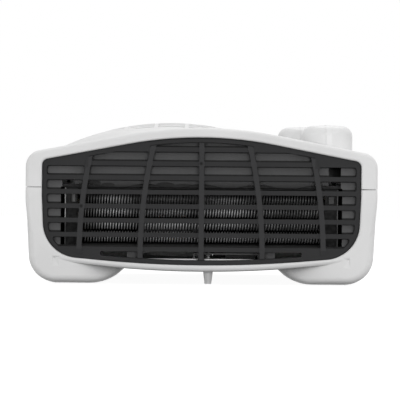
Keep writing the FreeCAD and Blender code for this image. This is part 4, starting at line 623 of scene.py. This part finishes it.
LOOKS = {
    "white_moulding": moulded(
        "white_moulding_look",
        slot_colour("white_moulding"),
        roughness=0.42,
        gloss=0.3,
        shade_openness=CASING_SHADE_OPENNESS,
        seam=SEAM_HEIGHT,
    ),
    "white_knob": moulded("white_knob_look", slot_colour("white_knob", share=1.01), roughness=0.36),
    "white_plunger": moulded(
        "white_plunger_look",
        slot_colour("white_plunger", share=1.4),
        roughness=0.4,
        shaded_above=PLUNGER_SHADE_HEIGHT,
    ),
    "charcoal_moulding": slatted("charcoal_moulding_look", slot_colour("charcoal_moulding", share=0.76)),
    "duct_sheet": duct_look("duct_sheet_look", slot_colour("duct_sheet", share=0.9)),
    "mica_board": mica("mica_board_look", MICA_GREY),
    "heating_wire": heating_wire("heating_wire_look", WIRE_GREY),
    "winding_varnish": varnished_wire("winding_varnish_look", slot_colour("winding_varnish")),
    "steatite": fired_clay("steatite_look", slot_colour("steatite")),
    **slot_looks(
        moulded,
        white_intake=0.42,
        fan_plastic=0.5,
        switch_plastic=0.5,
        natural_nylon=0.45,
        black_nylon=0.45,
    ),
    **slot_looks(
        sheet_metal,
        brass_terminal=0.35,
        zinc_plate=0.4,
        bright_steel=0.28,
        rotor_aluminium=0.45,
        sintered_bronze=0.55,
    ),
}
OWN_LOOKS = {
    "microswitch": moulded("microswitch_look", SWITCH_BLACK, roughness=0.6, gloss=0.2),
    "motor_stack": laminations("motor_stack_look", DARK_STEEL),
    "thermal_cutout": sheet_metal("thermal_cutout_look", CUTOUT_GREY, roughness=0.6),
    "selector_terminals": sheet_metal("selector_terminals_look", BLADE_GREY, roughness=0.5),
    "element_side_plates": sheet_metal("element_side_plates_look", PLATE_GREY, roughness=0.6, painted_shade=True),
    **{
        node: sheet_metal(f"{node}_look", DARK_STEEL, roughness=0.55)
        for node in ("motor_base", "motor_yoke", "motor_screws", "switch_lever")
    },
}
for part in frame["record"]["subparts"]:
    materials = nodes[part["node"]].data.materials
    materials.clear()
    materials.append(OWN_LOOKS.get(part["node"]) or LOOKS[part["material_slot"]])


# Heating coils


POINTS_PER_TURN = 16
WIRE_ROUNDNESS = 2
COILS = 4
COIL_TURNS = 84
COIL_WIRE = 0.00045
LEAD_BEND = 0.002
LEAD_STRAIGHT = 0.0015
# Slight unevenness of the turns along X: size, half waves over the coil, shift by height
SWAY = 0.0005
SWAY_WAVES = 7
SWAY_SHIFT = 40


def wire_curve(name, points, radius, slot):
    """A round wire along the points, in the look of a slot."""
    curve = bpy.data.curves.new(name, "CURVE")
    curve.dimensions = "3D"
    curve.bevel_depth = radius
    curve.bevel_resolution = WIRE_ROUNDNESS
    curve.use_fill_caps = True
    spline = curve.splines.new("POLY")
    spline.points.add(len(points) - 1)
    for target, point in zip(spline.points, points):
        target.co = (*point, 1.0)
    spline.use_smooth = True
    piece = bpy.data.objects.new(name, curve)
    bpy.context.scene.collection.objects.link(piece)
    curve.materials.append(LOOKS[slot])
    return piece


def coil_points(low, high):
    """One unbroken wire: a straight lead, a close helix along X and a straight lead out."""
    radius = (high.y - low.y) / 2 - COIL_WIRE
    middle = (low + high) / 2
    half = high.x
    bent = half - LEAD_STRAIGHT
    turned = bent - LEAD_BEND
    front = middle.y - radius
    lead_in = middle.z - LEAD_BEND
    lead_out = middle.z + LEAD_BEND
    points = [Vector((-half, front, lead_in)), Vector((-bent, front, lead_in))]
    count = COIL_TURNS * POINTS_PER_TURN
    for step in range(count + 1):
        share = step / count
        angle = 2 * math.pi * step / POINTS_PER_TURN
        waves = math.sin(SWAY_WAVES * math.pi * share + SWAY_SHIFT * middle.z)
        x = -turned + 2 * turned * share + SWAY * waves * math.sin(math.pi * share)
        y = middle.y - radius * math.cos(angle)
        z = middle.z + radius * math.sin(angle)
        points.append(Vector((x, y, z)))
    return [*points, Vector((bent, front, lead_out)), Vector((half, front, lead_out))]


for number in range(1, COILS + 1):
    node = f"heating_coil_{number}"
    coil = wire_curve(f"coil_winding_{number}", coil_points(*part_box(node)), COIL_WIRE, "heating_wire")
    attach(coil, "heater")
    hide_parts(node)


# Spring of the tip switch, wound to fill the box of the part that it stands for


SPRING_TURNS = 2.5
SPRING_WIRE = 0.0003
SPRING_POINTS_PER_TURN = 2 * POINTS_PER_TURN


def spring_points(low, high):
    """An open helix that fills the box from its floor to its top."""
    middle = (low + high) / 2
    radius = (high.y - low.y) / 2 - SPRING_WIRE
    rise = high.z - low.z - 2 * SPRING_WIRE
    points = []
    count = round(SPRING_TURNS * SPRING_POINTS_PER_TURN)
    for step in range(count + 1):
        angle = 2 * math.pi * step / SPRING_POINTS_PER_TURN
        x = middle.x - radius * math.cos(angle)
        y = middle.y + radius * math.sin(angle)
        z = low.z + SPRING_WIRE + rise * step / count
        points.append(Vector((x, y, z)))
    return points


spring_low, spring_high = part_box("tip_spring")
spring_path = spring_points(spring_low, spring_high)
spring_line = wire_curve("spring_line", spring_path, SPRING_WIRE, "bright_steel")
spring = bpy.data.objects.new("spring_winding", bpy.data.meshes.new_from_object(spring_line))
bpy.context.scene.collection.objects.link(spring)
bpy.data.objects.remove(spring_line)
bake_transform(spring)
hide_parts("tip_spring")


# Stage: floor, light and camera


FLOOR_HALF = 4.0
# Grey of the floor for the light that it throws back, and grey and glow of the floor that is seen
FLOOR_LIT = 0.35
FLOOR_SEEN = 0.3
FLOOR_GLOW = 0.94
# Strength of the world as light and as it is seen
WORLD_LIGHT = 0.54
WORLD_SEEN = 1.0
# Place, aim, width, height and power of each lamp
LAMPS = {
    "key": ((0.7, -1.4, 1.1), (0, 0, 0.06), 1.2, 1.2, 6.5),
    "front": ((0.1, -1.9, 0.13), (0, 0, 0.04), 1.4, 0.22, 9.0),
    "left": ((-1.5, -0.55, 0.3), (0, 0, 0.06), 0.9, 0.7, 4.0),
    "right": ((1.5, -0.55, 0.3), (0, 0, 0.06), 0.9, 0.7, 2.2),
    "top": ((0.2, 0.6, 1.5), (0, 0, 0.1), 1.2, 1.2, 8.8),
}
# The photograph: its width, the size of a pixel at the rim and where the camera stands before the rim
IMAGE_PIXELS = 400
PIXEL_AT_RIM = 0.000737
CAMERA_REACH = 1.10
CAMERA_X = -0.0011
CAMERA_HEIGHT = 0.0634
CAMERA_ROLL = math.radians(-0.5)
CLIP_START = 0.01


def looking_rays(tree):
    """1 for what the camera sees, straight or in metal and glass; 0 for light on the object."""
    rays = tree.nodes.new("ShaderNodeLightPath")
    total = rays.outputs["Is Camera Ray"]
    for kind in ("Is Glossy Ray", "Is Transmission Ray"):
        larger = tree.nodes.new("ShaderNodeMath")
        larger.operation = "MAXIMUM"
        tree.links.new(total, larger.inputs[0])
        tree.links.new(rays.outputs[kind], larger.inputs[1])
        total = larger.outputs["Value"]
    return total


def grey_diffuse(tree, grey):
    diffuse = tree.nodes.new("ShaderNodeBsdfDiffuse")
    diffuse.inputs["Color"].default_value = (grey, grey, grey, 1.0)
    return diffuse.outputs["BSDF"]


def floor_look():
    """A pale floor that shows white to the camera and keeps the object's shadow."""
    material = bpy.data.materials.new("pale_floor")
    material.use_nodes = True
    tree = material.node_tree
    tree.nodes.clear()
    output = tree.nodes.new("ShaderNodeOutputMaterial")
    glow = tree.nodes.new("ShaderNodeEmission")
    glow.inputs["Strength"].default_value = FLOOR_GLOW
    seen = tree.nodes.new("ShaderNodeAddShader")
    tree.links.new(grey_diffuse(tree, FLOOR_SEEN), seen.inputs[0])
    tree.links.new(glow.outputs["Emission"], seen.inputs[1])
    chosen = tree.nodes.new("ShaderNodeMixShader")
    tree.links.new(looking_rays(tree), chosen.inputs["Fac"])
    tree.links.new(grey_diffuse(tree, FLOOR_LIT), chosen.inputs[1])
    tree.links.new(seen.outputs["Shader"], chosen.inputs[2])
    tree.links.new(chosen.outputs["Shader"], output.inputs["Surface"])
    return material


def floor():
    mesh = bpy.data.meshes.new("floor")
    corners = [(FLOOR_HALF * x, FLOOR_HALF * y, 0) for x, y in ((-1, -1), (1, -1), (1, 1), (-1, 1))]
    mesh.from_pydata(corners, [], [(0, 1, 2, 3)])
    piece = bpy.data.objects.new("floor", mesh)
    bpy.context.scene.collection.objects.link(piece)
    mesh.materials.append(floor_look())


def world_look():
    world = bpy.data.worlds.new("studio")
    bpy.context.scene.world = world
    world.use_nodes = True
    tree = world.node_tree
    background = tree.nodes["Background"]
    background.inputs["Color"].default_value = (1.0, 1.0, 1.0, 1.0)
    strength = tree.nodes.new("ShaderNodeMapRange")
    strength.inputs["To Min"].default_value = WORLD_LIGHT
    strength.inputs["To Max"].default_value = WORLD_SEEN
    tree.links.new(looking_rays(tree), strength.inputs["Value"])
    tree.links.new(strength.outputs["Result"], background.inputs["Strength"])


def area_light(name, spot, aim, width, height, power):
    data = bpy.data.lights.new(name, "AREA")
    data.shape = "RECTANGLE"
    data.size = width
    data.size_y = height
    data.energy = power
    lamp = bpy.data.objects.new(name, data)
    bpy.context.scene.collection.objects.link(lamp)
    lamp.location = spot
    lamp.rotation_euler = (Vector(aim) - Vector(spot)).to_track_quat("-Z", "Y").to_euler()


def camera():
    data = bpy.data.cameras.new("camera")
    data.sensor_fit = "HORIZONTAL"
    data.angle = 2 * math.atan(IMAGE_PIXELS * PIXEL_AT_RIM / 2 / CAMERA_REACH)
    data.clip_start = CLIP_START
    piece = bpy.data.objects.new("camera", data)
    bpy.context.scene.collection.objects.link(piece)
    piece.location = (CAMERA_X, cad_box[0][1] - CAMERA_REACH, CAMERA_HEIGHT)
    piece.rotation_euler = (math.pi / 2, CAMERA_ROLL, 0)
    bpy.context.scene.camera = piece


floor()
world_look()
for lamp_name, lamp_settings in LAMPS.items():
    area_light(lamp_name, *lamp_settings)
camera()
bpy.context.scene.view_settings.view_transform = "Standard"
